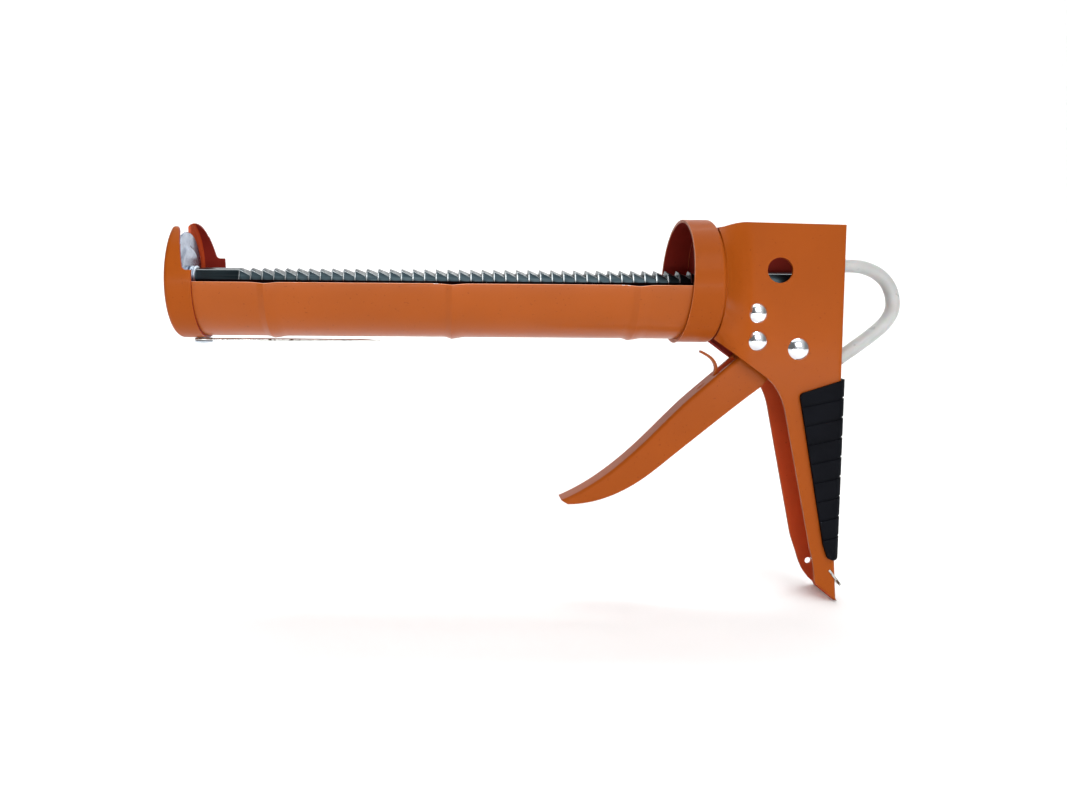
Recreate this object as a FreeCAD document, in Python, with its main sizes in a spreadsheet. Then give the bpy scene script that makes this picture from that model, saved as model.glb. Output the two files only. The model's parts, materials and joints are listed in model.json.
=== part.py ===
"""Half-barrel caulking gun with a toothed push rod, a trigger drive and a swing-out piercing needle.

Frame: the origin is on the rod's axis, at the inner face of the front cap. +X runs back along the
barrel towards the handle, +Z is up, and Y = 0 is the middle plane. All sizes are in millimetres.
"""
import FreeCAD, Part
import math
import os

import Sketcher

from FreeCAD import Vector

os.makedirs("parts", exist_ok=True)
doc = FreeCAD.newDocument("caulking_gun")

# ---------------------------------------------------------------- driving dimensions

SIZES = {
    # barrel
    "barrel_sheet": 1.0,
    "cradle_radius": 26.4,
    "cradle_start": 0.3,
    "cradle_end": 235.3,
    "cradle_arc": 170.0,
    "rim_drop": 2.3,
    "bead_first": 41.4,
    "bead_pitch": 79.7,
    "bead_height": 1.0,
    "bead_half_width": 3.0,
    "bead_rim_dip": 0.45,
    "bead_rim_radius": 14.0,
    "sheet_fit_gap": 0.05,
    "cap_skirt": 11.1,
    "cap_upper_skirt": 6.9,
    "cap_shoulder_height": 6.1,
    "cap_top_skirt": 3.7,
    "cap_roll": 7.5,
    "cap_edge_radius": 2.4,
    "slot_half_width": 9.5,
    "lip_height": 23.8,
    "lip_radius": 2.5,
    "collar_sheet": 1.3,
    "collar_back": 237.3,
    "collar_front_top": 225.6,
    "collar_front_bottom": 221.8,
    # push rod
    "rod_flats": 8.0,
    "rod_start": 5.9,
    "rod_end": 295.9,
    "rod_running_gap": 0.06,
    "tooth_first": 25.1,
    "tooth_pitch": 5.22,
    "tooth_depth": 2.2,
    "tooth_count": 40,
    "spigot_radius": 3.0,
    "disc_radius": 20.5,
    "disc_sheet": 1.0,
    "disc_front": 0.35,
    "disc_dish": 1.2,
    "disc_dish_radius": 14.0,
    "disc_rim_round": 0.4,
    "washer_radius": 5.2,
    "screw_head_radius": 4.8,
    "screw_shank_radius": 2.0,
    # handle
    "handle_width": 22.0,
    "handle_sheet": 1.2,
    "handle_bend": 1.8,
    "cutter_thickness": 1.0,
    "spine_top_back": 296.1,
    "handle_top": 25.2,
    "flare_front": 237.6,
    "flare_back": 251.5,
    "window_x": 266.35,
    "window_height": 4.9,
    "window_radius": 5.65,
    "hang_hole_x": 288.5,
    "hang_hole_depth": 129.9,
    "hang_hole_radius": 1.5,
    "grip_skin": 1.1,
    "grip_rib": 0.5,
    "grip_pitch": 8.63,
    "grip_first_groove": 51.6,
    "grip_groove": 1.1,
    "grip_slope": 12.0,
    # trigger and pawls
    "pivot_x": 274.75,
    "pivot_depth": 29.9,
    "upper_rivet_x": 256.55,
    "upper_rivet_depth": 14.2,
    "lower_rivet_x": 256.55,
    "lower_rivet_depth": 26.5,
    "pivot_shaft_radius": 2.5,
    "rivet_shaft_radius": 2.2,
    "pivot_head_radius": 4.85,
    "rivet_head_radius": 4.45,
    "rivet_head_height": 2.2,
    "rivet_tail_height": 1.5,
    "spacer_radius": 3.5,
    "trigger_width": 12.0,
    "trigger_arm": 16.2,
    "trigger_arm_angle": 70.0,
    "pawl_pin_radius": 1.5,
    "pawl_half_width": 1.9,
    # needle and pull hook
    "needle_x": 8.8,
    "needle_depth": 28.15,
    "needle_wire_radius": 0.6,
    "needle_eye_radius": 3.6,
    "needle_tip": 88.9,
    "needle_rivet_radius": 1.6,
    "hook_wire_radius": 1.8,
    "hook_sleeve_radius": 3.1,
    "hook_start": 297.9,
    "hook_height": 7.2,
    "end_plate_front": 295.95,
    "end_plate_back": 297.55,
    "end_plate_half_width": 4.2,
}

sheet = doc.addObject("Spreadsheet::Sheet", "sizes")
for row, (alias, number) in enumerate(SIZES.items(), start=1):
    sheet.set(f"A{row}", alias)
    sheet.set(f"B{row}", str(number))
    sheet.setAlias(f"B{row}", alias)
doc.recompute()


class Size:
    """A length that knows its number and the spreadsheet expression that gives it."""

    def __init__(self, text, number):
        self.text = text
        self.number = number

    def joined(self, sign, other, number):
        return Size(f"({self.text} {sign} {other.text})", number)

    def __add__(self, other):
        other = as_size(other)
        return self.joined("+", other, self.number + other.number)

    def __sub__(self, other):
        other = as_size(other)
        return self.joined("-", other, self.number - other.number)

    def __mul__(self, other):
        other = as_size(other)
        return self.joined("*", other, self.number * other.number)

    def __truediv__(self, other):
        other = as_size(other)
        return self.joined("/", other, self.number / other.number)

    def __neg__(self):
        return Size(f"(0 - {self.text})", -self.number)


def as_size(thing):
    return thing if isinstance(thing, Size) else Size(str(thing), float(thing))


def dim(alias):
    return Size(f"sizes.{alias}", float(sheet.get(alias)))


def mm(alias):
    return float(sheet.get(alias))


# ---------------------------------------------------------------- helpers

def new_body(label):
    body = doc.addObject("PartDesign::Body", label)
    body.Label = label
    return body


def origin_item(body, role):
    return next(item for item in body.Origin.OriginFeatures if item.Role == role)


def empty_sketch(body, name, plane):
    sketch = body.newObject("Sketcher::SketchObject", name)
    sketch.AttachmentSupport = (origin_item(body, plane), [""])
    sketch.MapMode = "FlatFace"
    return sketch


def bind_point(sketch, geometry, end, corner):
    """Hold one end of a line or arc at a corner given by two sizes."""
    for kind, axis, size in (("DistanceX", -2, corner[0]), ("DistanceY", -1, corner[1])):
        if abs(size.number) < 1e-9:
            sketch.addConstraint(Sketcher.Constraint("PointOnObject", geometry, end, axis))
            continue
        index = sketch.addConstraint(Sketcher.Constraint(kind, -1, 1, geometry, end, size.number))
        sketch.setExpression(f"Constraints[{index}]", size.text)


def arc_middle(start, end, radius):
    """Middle of the short arc from start to end; a positive radius bulges to the right of travel."""
    chord = end - start
    across = Vector(chord.y, -chord.x, 0).normalize()
    half = chord.Length / 2
    sagitta = abs(radius) - math.sqrt(radius ** 2 - half ** 2)
    return (start + end) * 0.5 + across * math.copysign(sagitta, radius)


def closed_outline(body, name, plane, corners, arcs=None):
    """A fully constrained closed outline; arcs maps a side's number to its arc radius."""
    arcs = arcs or {}
    sketch = empty_sketch(body, name, plane)
    corners = [(as_size(across), as_size(up)) for across, up in corners]
    points = [Vector(across.number, up.number, 0) for across, up in corners]
    ends = []
    for side, start in enumerate(points):
        end = points[(side + 1) % len(points)]
        if side in arcs:
            curve = Part.Arc(start, arc_middle(start, end, arcs[side].number), end)
        else:
            curve = Part.LineSegment(start, end)
        geometry = sketch.addGeometry(curve, False)
        flipped = sketch.getPoint(geometry, 1).distanceToPoint(start) > 1e-6
        ends.append((geometry, 2, 1) if flipped else (geometry, 1, 2))
    for side, (geometry, first, last) in enumerate(ends):
        following, following_first, _ = ends[(side + 1) % len(ends)]
        sketch.addConstraint(
            Sketcher.Constraint("Coincident", geometry, last, following, following_first))
        bind_point(sketch, geometry, first, corners[side])
        if side in arcs:
            radius = abs(arcs[side].number)
            index = sketch.addConstraint(Sketcher.Constraint("Radius", geometry, radius))
            text = arcs[side].text if arcs[side].number > 0 else (-arcs[side]).text
            sketch.setExpression(f"Constraints[{index}]", text)
    return sketch


def circle_sketch(body, name, plane, circles):
    """Circles given as (across, up, radius)."""
    sketch = empty_sketch(body, name, plane)
    for across, up, radius in circles:
        centre = Vector(as_size(across).number, as_size(up).number, 0)
        circle = Part.Circle(centre, Vector(0, 0, 1), as_size(radius).number)
        geometry = sketch.addGeometry(circle, False)
        bind_point(sketch, geometry, 3, (as_size(across), as_size(up)))
        index = sketch.addConstraint(
            Sketcher.Constraint("Radius", geometry, as_size(radius).number))
        sketch.setExpression(f"Constraints[{index}]", as_size(radius).text)
    return sketch


def revolve(body, name, sketch, axis, angle=None, midplane=False):
    """Turn a profile about the sketch's own H_Axis or V_Axis."""
    turned = body.newObject("PartDesign::Revolution", name)
    turned.Profile = sketch
    turned.ReferenceAxis = (sketch, [axis])
    turned.Angle = 360
    if angle is not None:
        turned.setExpression("Angle", angle.text)
    turned.Midplane = midplane
    body.Tip = turned
    return turned


def pocket_through(body, name, sketch):
    """Cut a profile right through, both ways from its sketch plane."""
    doc.recompute()
    before = body.Shape.Volume
    pocket = body.newObject("PartDesign::Pocket", name)
    pocket.Profile = sketch
    pocket.Type = 1
    pocket.Midplane = True
    body.Tip = pocket
    doc.recompute()
    if body.Shape.Volume > before - 0.01:
        raise RuntimeError(f"{name} cuts nothing")
    return pocket


def turned_piece(label, plane, axis, corners, arcs=None):
    """A lathe-turned piece made by one revolved profile."""
    body = new_body(label)
    sketch = closed_outline(body, f"{label}_profile", plane, corners, arcs)
    revolve(body, f"{label}_turning", sketch, axis)
    return body


def put(piece, x=None, y=None, z=None):
    """Bind a piece's position to sheet sizes."""
    for letter, size in (("x", x), ("y", y), ("z", z)):
        if size is not None:
            piece.setExpression(f"Placement.Base.{letter}", as_size(size).text)


def cylinder(name, radius, length, axis):
    """A cylinder primitive starting at the origin and running along axis."""
    drum = doc.addObject("Part::Cylinder", name)
    drum.setExpression("Radius", as_size(radius).text)
    drum.setExpression("Height", as_size(length).text)
    drum.Placement.Rotation = FreeCAD.Rotation(Vector(0, 0, 1), axis)
    return drum


def sleeve(name, outer, inner, start, end):
    """A tube along Y from start to end."""
    solid = cylinder(f"{name}_outer", outer, end - start, Vector(0, 1, 0))
    hole = cylinder(f"{name}_hole", inner, end - start, Vector(0, 1, 0))
    tube = doc.addObject("Part::Cut", name)
    tube.Base = solid
    tube.Tool = hole
    put(solid, y=start)
    put(hole, y=start)
    return tube


def group(label, pieces):
    """Several separate solids kept as one piece."""
    compound = doc.addObject("Part::Compound", label)
    compound.Label = label
    compound.Links = pieces
    return compound


def feature(label, shape):
    """A piece whose shape is worked out from the sheet by Part's own functions."""
    piece = doc.addObject("Part::Feature", label)
    piece.Label = label
    piece.Shape = shape
    return piece


def flat_point(across, up):
    return Vector(across, 0, up)


def side_face(corners):
    """A face in the middle plane from corners given as (x, z)."""
    points = [flat_point(*corner) for corner in corners]
    return Part.Face(Part.makePolygon(points + points[:1]))


def slab(face, half_width, inner=0.0):
    """Thicken a face in the middle plane to both sides, or to each side beyond inner."""
    def one(low, high):
        moved = face.copy()
        moved.translate(Vector(0, low, 0))
        return moved.extrude(Vector(0, high - low, 0))
    if not inner:
        return one(-half_width, half_width)
    return one(-half_width, -inner).fuse(one(inner, half_width))


def disc_face(x, z, radius):
    return Part.Face(Part.Wire(Part.makeCircle(radius, flat_point(x, z), Vector(0, 1, 0))))


def link_face(first, second):
    """The outline of a belt round two circles given as (x, z, radius)."""
    gap = flat_point(second[0] - first[0], second[1] - first[1])
    lean = math.acos((first[2] - second[2]) / gap.Length)
    heading = math.atan2(gap.z, gap.x)
    corners = []
    for circle, turn in ((first, lean), (second, lean), (second, -lean), (first, -lean)):
        angle = heading + turn
        corners.append((circle[0] + circle[2] * math.cos(angle),
                        circle[1] + circle[2] * math.sin(angle)))
    face = side_face(corners)
    return face.fuse([disc_face(*first), disc_face(*second)]).removeSplitter()


def rod_solid(x, z, radius, low, high):
    """A round bar along Y."""
    return Part.makeCylinder(radius, high - low, Vector(x, low, z), Vector(0, 1, 0))


def rounded_path(points):
    """Straight runs joined by tangent arcs, each as large as its two runs allow."""
    edges = []
    begin = points[0]
    for before, corner, after in zip(points, points[1:], points[2:]):
        reach = 0.45 * min((before - corner).Length, (after - corner).Length)
        back = (before - corner).normalize()
        ahead = (after - corner).normalize()
        half = (math.pi - back.getAngle(ahead)) / 2
        radius = reach / math.tan(half)
        start = corner + back * reach
        end = corner + ahead * reach
        inward = (back + ahead).normalize()
        middle = corner + inward * (radius / math.cos(half) - radius)
        edges.append(Part.LineSegment(begin, start).toShape())
        edges.append(Part.Arc(start, middle, end).toShape())
        begin = end
    edges.append(Part.LineSegment(begin, points[-1]).toShape())
    return Part.Wire(edges)


def wire_along(path, radius):
    """A round wire swept along a path."""
    start = path.OrderedVertexes[0].Point
    heading = path.OrderedEdges[0].tangentAt(path.OrderedEdges[0].FirstParameter)
    profile = Part.Wire(Part.makeCircle(radius, start, heading))
    return path.makePipeShell([profile], True, True)


def coil_spring(x, z, start_y, turns, radius, wire, legs):
    """A torsion spring along Y: close-wound turns with a tangent leg at each end.

    legs holds the heading in degrees and the length of the first and the last leg.
    """
    step = 1.85 * wire
    rings = [Part.makeTorus(radius, wire, Vector(x, start_y + step * turn, z), Vector(0, 1, 0))
             for turn in range(turns)]
    for (heading, length), turn in zip(legs, (0, turns - 1)):
        angle = math.radians(heading)
        start = Vector(x + radius * math.sin(angle), start_y + step * turn, z - radius * math.cos(angle))
        rings.append(Part.makeCylinder(wire * 0.98, length, start, flat_point(math.cos(angle), math.sin(angle))))
    return rings[0].fuse(rings[1:])


# ---------------------------------------------------------------- barrel

def make_front_cap():
    """A pressed cup whose front wall has an open U slot for the nozzle."""
    inner = dim("cradle_radius") + dim("sheet_fit_gap")
    outer = inner + dim("barrel_sheet")
    radius = dim("cap_edge_radius")
    inner_radius = radius - dim("barrel_sheet")
    front = -dim("barrel_sheet")
    body = new_body("front_cap")
    corners = [
        (0, 0), (front, 0), (front, outer - radius), (front + radius, outer),
        (dim("cap_skirt"), outer), (dim("cap_skirt"), inner), (inner_radius, inner),
        (0, inner - inner_radius)]
    arcs = {2: -radius, 6: inner_radius}
    profile = closed_outline(body, "cap_profile", "XZ_Plane", corners, arcs)
    revolve(body, "cap_pressing", profile, "H_Axis")
    shoulder = dim("cap_shoulder_height")
    upper = dim("cap_upper_skirt")
    round_size = Size("2", 2.0)
    top = dim("cap_top_skirt")
    cut = closed_outline(body, "cap_upper_cut", "XZ_Plane", [
        (upper, shoulder + round_size), (upper + round_size, shoulder), (dim("cap_skirt") + 5, shoulder),
        (dim("cap_skirt") + 5, outer + 5), (top, outer + 5), (top, dim("lip_height"))], {0: round_size})
    pocket_through(body, "cap_upper_trim", cut)
    half = dim("slot_half_width")
    lip = dim("lip_height")
    bend = dim("lip_radius")
    slot = closed_outline(body, "nozzle_slot", "YZ_Plane", [
        (half, 0), (half, lip - bend), (half + bend, lip), (half + 22, lip), (half + 22, lip + 10),
        (-half - 22, lip + 10), (-half - 22, lip), (-half - bend, lip), (-half, lip - bend),
        (-half, 0), (0, -half)], {1: -bend, 7: -bend, 9: half, 10: half})
    pocket_through(body, "nozzle_slot_cut", slot)
    drill_for_needle(body, "cap_needle_hole", -mm("cap_roll"))
    body.Placement.Rotation = FreeCAD.Rotation(Vector(1, 0, 0), mm("cap_roll"))
    return body


def drill_for_needle(body, name, lean):
    """A hole for the needle's rivet, upright once the body has been turned back by lean."""
    radius = dim("needle_rivet_radius") + 0.02
    hole = circle_sketch(body, f"{name}_circle", "XY_Plane", [(dim("needle_x"), 0, radius)])
    hole.AttachmentOffset = FreeCAD.Placement(Vector(), FreeCAD.Rotation(Vector(1, 0, 0), lean))
    pocket_through(body, name, hole)


def make_cradle():
    """A half-round trough with three outward beads across it."""
    outer = dim("cradle_radius")
    inner = outer - dim("barrel_sheet")
    height = dim("bead_height")
    half = dim("bead_half_width")
    body = new_body("cradle")
    top_run = [(dim("cradle_start"), -outer)]
    under_run = [(dim("cradle_start"), -inner)]
    for number in range(3):
        middle = dim("bead_first") + dim("bead_pitch") * number
        for run, radius in ((top_run, outer), (under_run, inner)):
            run += [(middle - half, -radius), (middle - 1, -radius - height),
                    (middle + 1, -radius - height), (middle + half * 1.6, -radius)]
    top_run.append((dim("cradle_end"), -outer))
    under_run.append((dim("cradle_end"), -inner))
    profile = closed_outline(body, "trough_profile", "XZ_Plane", top_run + under_run[::-1])
    revolve(body, "trough_rolling", profile, "H_Axis", dim("cradle_arc"), True)
    dips = []
    for number in range(3):
        middle = dim("bead_first") + dim("bead_pitch") * number
        height_of_centre = dim("bead_rim_radius") - dim("rim_drop") - dim("bead_rim_dip")
        dips.append((middle, height_of_centre, dim("bead_rim_radius")))
    pocket_through(body, "rim_dips", circle_sketch(body, "rim_dip_circles", "XZ_Plane", dips))
    drill_for_needle(body, "cradle_needle_hole", 0)
    return body


def make_rear_collar():
    """A pressed cup, longer at the bottom, that holds the cradle's end and the rod's guide."""
    inner = dim("cradle_radius") + dim("sheet_fit_gap")
    outer = inner + dim("collar_sheet")
    back = dim("collar_back")
    wall = dim("collar_sheet")
    front = dim("collar_front_bottom")
    hole = dim("rod_flats") / 2 + 3.0
    round_size = Size("1.6", 1.6)
    body = new_body("rear_collar")
    profile = closed_outline(body, "collar_profile", "XZ_Plane", [
        (front, inner), (front, outer + 0.5), (front + 1, outer), (back - round_size, outer),
        (back, outer - round_size), (back, hole), (back - wall, hole), (back - wall, inner)],
        {3: -round_size})
    revolve(body, "collar_pressing", profile, "H_Axis")
    trim = closed_outline(body, "collar_slant", "XZ_Plane", [
        (front - 5, outer + 5), (front - 5, -outer - 1), (front, -outer - 1),
        (dim("collar_front_top"), outer + 5)])
    pocket_through(body, "collar_slant_cut", trim)
    return body


def make_rod_bushes():
    """Flanged bushes that guide the rod in the collar's back wall and in the handle's spine."""
    bore = dim("rod_flats") / 2 * 1.1547 + dim("rod_running_gap")
    neck = dim("rod_flats") / 2 + 2.95
    back = dim("collar_back")
    wall = dim("collar_sheet")
    front_bush = turned_piece("rod_guide_bush", "XZ_Plane", "H_Axis", [
        (back - wall - 1, bore), (back - wall - 1, neck + 2.5), (back - wall, neck + 2.5),
        (back - wall, neck), (back + 3, neck), (back + 3, bore)])
    spine = dim("spine_top_back") - 0.75
    inside = spine - dim("handle_sheet") - 0.4
    rear_bush = turned_piece("rear_rod_bush", "XZ_Plane", "H_Axis", [
        (inside - 4, bore), (inside - 4, neck), (inside - 1.2, neck), (inside - 1.2, neck + 2),
        (inside, neck + 2), (inside, neck - 0.6), (spine, neck - 0.6), (spine, bore)])
    return [front_bush, rear_bush]


# ---------------------------------------------------------------- rod, disc and pull hook

def make_ratchet_rod():
    """A hexagonal bar with saw teeth along its top flat."""
    half = dim("rod_flats") / 2
    body = new_body("ratchet_rod")
    hexagon = empty_sketch(body, "rod_section", "YZ_Plane")
    side = dim("rod_flats").number / math.sqrt(3)
    tips = [Vector(side * math.cos(math.radians(60 * step)), side * math.sin(math.radians(60 * step)), 0)
            for step in range(6)]
    for step in range(6):
        hexagon.addGeometry(Part.LineSegment(tips[step], tips[(step + 1) % 6]), False)
    guide = hexagon.addGeometry(Part.Circle(Vector(0, 0, 0), Vector(0, 0, 1), side), True)
    hexagon.addConstraint(Sketcher.Constraint("Coincident", guide, 3, -1, 1))
    for step in range(6):
        hexagon.addConstraint(Sketcher.Constraint("Coincident", step, 2, (step + 1) % 6, 1))
        hexagon.addConstraint(Sketcher.Constraint("PointOnObject", step, 1, guide))
        if step:
            hexagon.addConstraint(Sketcher.Constraint("Equal", 0, step))
    hexagon.addConstraint(Sketcher.Constraint("Horizontal", 1))
    flats = hexagon.addConstraint(Sketcher.Constraint("DistanceY", -1, 1, 1, 1, half.number))
    hexagon.setExpression(f"Constraints[{flats}]", half.text)
    bar = body.newObject("PartDesign::Pad", "rod_bar")
    bar.Profile = hexagon
    bar.setExpression("Length", (dim("rod_end") - dim("rod_start")).text)
    hexagon.setExpression("AttachmentOffset.Base.z", dim("rod_start").text)
    body.Tip = bar
    first = dim("tooth_first")
    pitch = dim("tooth_pitch")
    notch = closed_outline(body, "tooth_gap", "XZ_Plane", [
        (first + 0.6, half), (first + pitch, half - dim("tooth_depth")), (first + pitch, half + 1),
        (first + 0.6, half + 1)])
    pocket = pocket_through(body, "tooth_cut", notch)
    teeth = body.newObject("PartDesign::LinearPattern", "tooth_row")
    teeth.Originals = [pocket]
    teeth.Direction = (origin_item(body, "X_Axis"), [""])
    teeth.setExpression("Length", (pitch * (dim("tooth_count") - 1)).text)
    teeth.setExpression("Occurrences", dim("tooth_count").text)
    body.Tip = teeth
    for name, radius, depth, start, backwards in (
            ("front_spigot", "spigot_radius", 4.3, dim("rod_start"), True),
            ("tail_spigot", "spigot_radius", 1.6, dim("rod_end"), False)):
        spigot_sketch = circle_sketch(body, f"{name}_circle", "YZ_Plane", [(0, 0, dim(radius) - 0.03)])
        spigot_sketch.setExpression("AttachmentOffset.Base.z", start.text)
        spigot = body.newObject("PartDesign::Pad", name)
        spigot.Profile = spigot_sketch
        spigot.Length = depth
        spigot.Reversed = backwards
        body.Tip = spigot
    hole_sketch = circle_sketch(body, "screw_hole_circle", "YZ_Plane", [(0, 0, dim("screw_shank_radius"))])
    doc.recompute()
    before = body.Shape.Volume
    hole = body.newObject("PartDesign::Pocket", "screw_hole")
    hole.Profile = hole_sketch
    hole.Type = 0
    hole.Length = 18
    hole.Reversed = True
    body.Tip = hole
    doc.recompute()
    if body.Shape.Volume > before - 1:
        raise RuntimeError("the screw hole cuts nothing")
    return body


def make_disc_set():
    """The pusher disc, which turns freely on the rod's front spigot, its washer and its screw."""
    front = dim("disc_front")
    wall = dim("disc_sheet")
    rim = dim("disc_radius")
    dish = dim("disc_dish_radius")
    depth = dim("disc_dish")
    bore = dim("spigot_radius") + 0.03
    edge = dim("disc_rim_round")
    disc = turned_piece("pusher_disc", "XZ_Plane", "H_Axis", [
        (front + depth, bore), (front + depth, dish - 2), (front, dish), (front, rim - edge),
        (front + edge, rim), (front + wall - edge, rim), (front + wall, rim - edge),
        (front + wall, dish + 0.8), (front + depth + wall, dish - 1.2), (front + depth + wall, bore)])
    seat = front + depth + wall + 0.05
    end = dim("rod_start") - 0.05
    wide = dim("washer_radius")
    washer = turned_piece("disc_thrust_washer", "XZ_Plane", "H_Axis", [
        (seat, bore), (seat, wide - 0.4), (seat + 0.4, wide), (seat + 1.2, wide), (seat + 1.5, wide - 0.6),
        (seat + 1.8, wide - 0.6), (seat + 2.1, wide), (end - 0.4, wide), (end, wide - 0.4), (end, bore)])
    head = dim("screw_head_radius")
    shank = dim("screw_shank_radius")
    screw = turned_piece("rod_end_screw", "XZ_Plane", "H_Axis", [
        (front - 0.4, 0), (front - 0.4, head - 0.8), (front + 0.2, head),
        (front + depth - 0.05, head), (front + depth - 0.05, shank), (16, shank), (16, 0)])
    return [disc, washer, screw]


def make_pull_hook():
    """A D-shaped wire hook on a plate at the rod's tail, covered by a clear plastic sleeve."""
    start = mm("hook_start")
    bends = [flat_point(307.4, mm("hook_height")), flat_point(319.0, 0.9), flat_point(322.8, -12.3),
             flat_point(316.3, -22.5), flat_point(297.1, -34.9)]
    wire = wire_along(rounded_path([flat_point(mm("end_plate_front") + 0.3, mm("hook_height"))] + bends),
                      mm("hook_wire_radius"))
    tube = wire_along(rounded_path([flat_point(start, mm("hook_height"))] + bends),
                      mm("hook_sleeve_radius"))
    tube = tube.cut(wire)
    front = mm("end_plate_front")
    thickness = mm("end_plate_back") - front
    half = mm("end_plate_half_width")
    plate = Part.makeBox(thickness, 2 * half, mm("hook_height"), Vector(front, -half, 0))
    plate = plate.fuse([
        Part.makeCylinder(half, thickness, Vector(front, 0, 0), Vector(1, 0, 0)),
        Part.makeCylinder(half, thickness, Vector(front, 0, mm("hook_height")), Vector(1, 0, 0))]).removeSplitter()
    plate = plate.cut(Part.makeCylinder(mm("spigot_radius"), thickness, Vector(front, 0, 0), Vector(1, 0, 0)))
    plate = plate.cut(wire)
    return [feature("pull_hook", wire), feature("hook_sleeve", tube), feature("rod_end_plate", plate)]


# ---------------------------------------------------------------- handle

HANDLE_FRONT_LOW = (261.0, -42.8)
HANDLE_THROAT = (266.0, -49.0)
HANDLE_THROAT_END = (268.8, -56.5)
HANDLE_TOE_START = (280.2, -117.8)
HANDLE_TOE_MIDDLE = (281.9, -125.4)
HANDLE_TOE_END = (282.5, -133.2)
HANDLE_TIP = (292.3, -140.9)
HANDLE_BACK_LOW = (291.6, -123.0)
HANDLE_BACK_MIDDLE = (294.2, -40.0)
FAR_TOE_START = (282.7, -125.3)
FAR_TOE_MIDDLE = (285.9, -134.0)
CUTTER_TOP = (288.8, -127.3)
CUTTER_END = (293.8, -133.9)
CUTTER_REACH = 8.0


def side_wire(pieces):
    """A face in the middle plane from lines (2 points) and arcs (3 points), as (x, z)."""
    edges = []
    for piece in pieces:
        points = [flat_point(*point) for point in piece]
        curve = Part.LineSegment(*points) if len(points) == 2 else Part.Arc(*points)
        edges.append(curve.toShape())
    return Part.Face(Part.Wire(edges))


def handle_outline(top, front):
    """The handle's side view, from the flare line back."""
    back_top = (mm("spine_top_back"), top)
    return side_wire([
        [(front, top + 0.9), back_top], [back_top, HANDLE_BACK_MIDDLE],
        [HANDLE_BACK_MIDDLE, HANDLE_BACK_LOW], [HANDLE_BACK_LOW, HANDLE_TIP],
        [HANDLE_TIP, HANDLE_TOE_END], [HANDLE_TOE_END, HANDLE_TOE_MIDDLE, HANDLE_TOE_START],
        [HANDLE_TOE_START, HANDLE_THROAT_END],
        [HANDLE_THROAT_END, HANDLE_THROAT, HANDLE_FRONT_LOW],
        [HANDLE_FRONT_LOW, (front, -35.6)], [(front, -35.6), (front, top + 0.9)]])


def flare_side(side):
    """The sheet between the flat plate and the collar's round back, on one side."""
    half = mm("handle_width") / 2
    wall = mm("handle_sheet")
    radius = mm("cradle_radius") + mm("collar_sheet") - 0.4
    x_front = mm("flare_front")
    x_back = mm("flare_back")
    sections = []
    for x, curved in ((x_front, True), (x_back, False)):
        if curved:
            corners = []
            for reach, order in ((radius, (56.5, 0, -70.5)), (radius - wall, (-70.5, 0, 56.5))):
                arc = [Vector(x, side * reach * math.cos(math.radians(angle)),
                              reach * math.sin(math.radians(angle))) for angle in order]
                corners.append(Part.Arc(*arc).toShape())
            bottom = Part.LineSegment(corners[0].Vertexes[-1].Point, corners[1].Vertexes[0].Point)
            top = Part.LineSegment(corners[1].Vertexes[-1].Point, corners[0].Vertexes[0].Point)
            sections.append(Part.Wire([corners[0], bottom.toShape(), corners[1], top.toShape()]))
        else:
            high = mm("handle_top") + 0.9
            ring = [Vector(x, side * half, high), Vector(x, side * half, -35.6),
                    Vector(x, side * (half - wall), -35.6), Vector(x, side * (half - wall), high)]
            sections.append(Part.makePolygon(ring + ring[:1]))
    return Part.makeLoft(sections, True, True)


def make_handle():
    """One folded sheet: two side plates joined by a spine at the back, flared to the collar."""
    half = mm("handle_width") / 2
    wall = mm("handle_sheet")
    outline = handle_outline(mm("handle_top"), mm("flare_back"))
    block = slab(outline, half)
    back_edges = [edge for edge in block.Edges
                  if edge.BoundBox.YLength < 0.01 and edge.BoundBox.XMin > HANDLE_BACK_LOW[0] - 0.5
                  and edge.BoundBox.ZLength > 20]
    rounded = block.makeFillet(mm("handle_bend"), back_edges)
    spine_inside = side_face([
        (mm("spine_top_back") - wall, mm("handle_top") + 5), (HANDLE_BACK_MIDDLE[0] - wall, -40.0),
        (HANDLE_BACK_LOW[0] - wall, HANDLE_BACK_LOW[1]), (HANDLE_BACK_LOW[0] - wall, -150),
        (242, -150), (242, mm("handle_top") + 5)])
    channel = slab(spine_inside, half - wall)
    frame = rounded.cut(channel)
    frame = frame.fuse([flare_side(1), flare_side(-1)]).removeSplitter()
    holes = []
    for x, depth, radius in (("pivot_x", "pivot_depth", "pivot_shaft_radius"),
                             ("upper_rivet_x", "upper_rivet_depth", "rivet_shaft_radius"),
                             ("lower_rivet_x", "lower_rivet_depth", "rivet_shaft_radius")):
        holes.append(rod_solid(mm(x), -mm(depth), mm(radius), -half - 1, half + 1))
    holes.append(rod_solid(mm("window_x"), mm("window_height"), mm("window_radius"), -half - 1, 0))
    holes.append(rod_solid(mm("hang_hole_x"), -mm("hang_hole_depth"), mm("hang_hole_radius"), 0, half + 1))
    holes.append(Part.makeCylinder(mm("rod_flats") / 2 + 2.4, 8, Vector(290, 0, 0), Vector(1, 0, 0)))
    far_toe = side_wire([
        [FAR_TOE_START, FAR_TOE_MIDDLE, HANDLE_TIP], [HANDLE_TIP, (292.3, -145)],
        [(292.3, -145), (270, -145)], [(270, -145), (270, -125.3)], [(270, -125.3), FAR_TOE_START]])
    far_toe.translate(Vector(0, half - wall - 0.5, 0))
    holes.append(far_toe.extrude(Vector(0, wall + 1.5, 0)))
    slot = cutter_strip(mm("cutter_thickness") / 2 + 0.05, -half - 1, CUTTER_REACH + 0.05)
    return feature("handle_frame", frame.cut(holes).cut(slot).removeSplitter())


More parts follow.
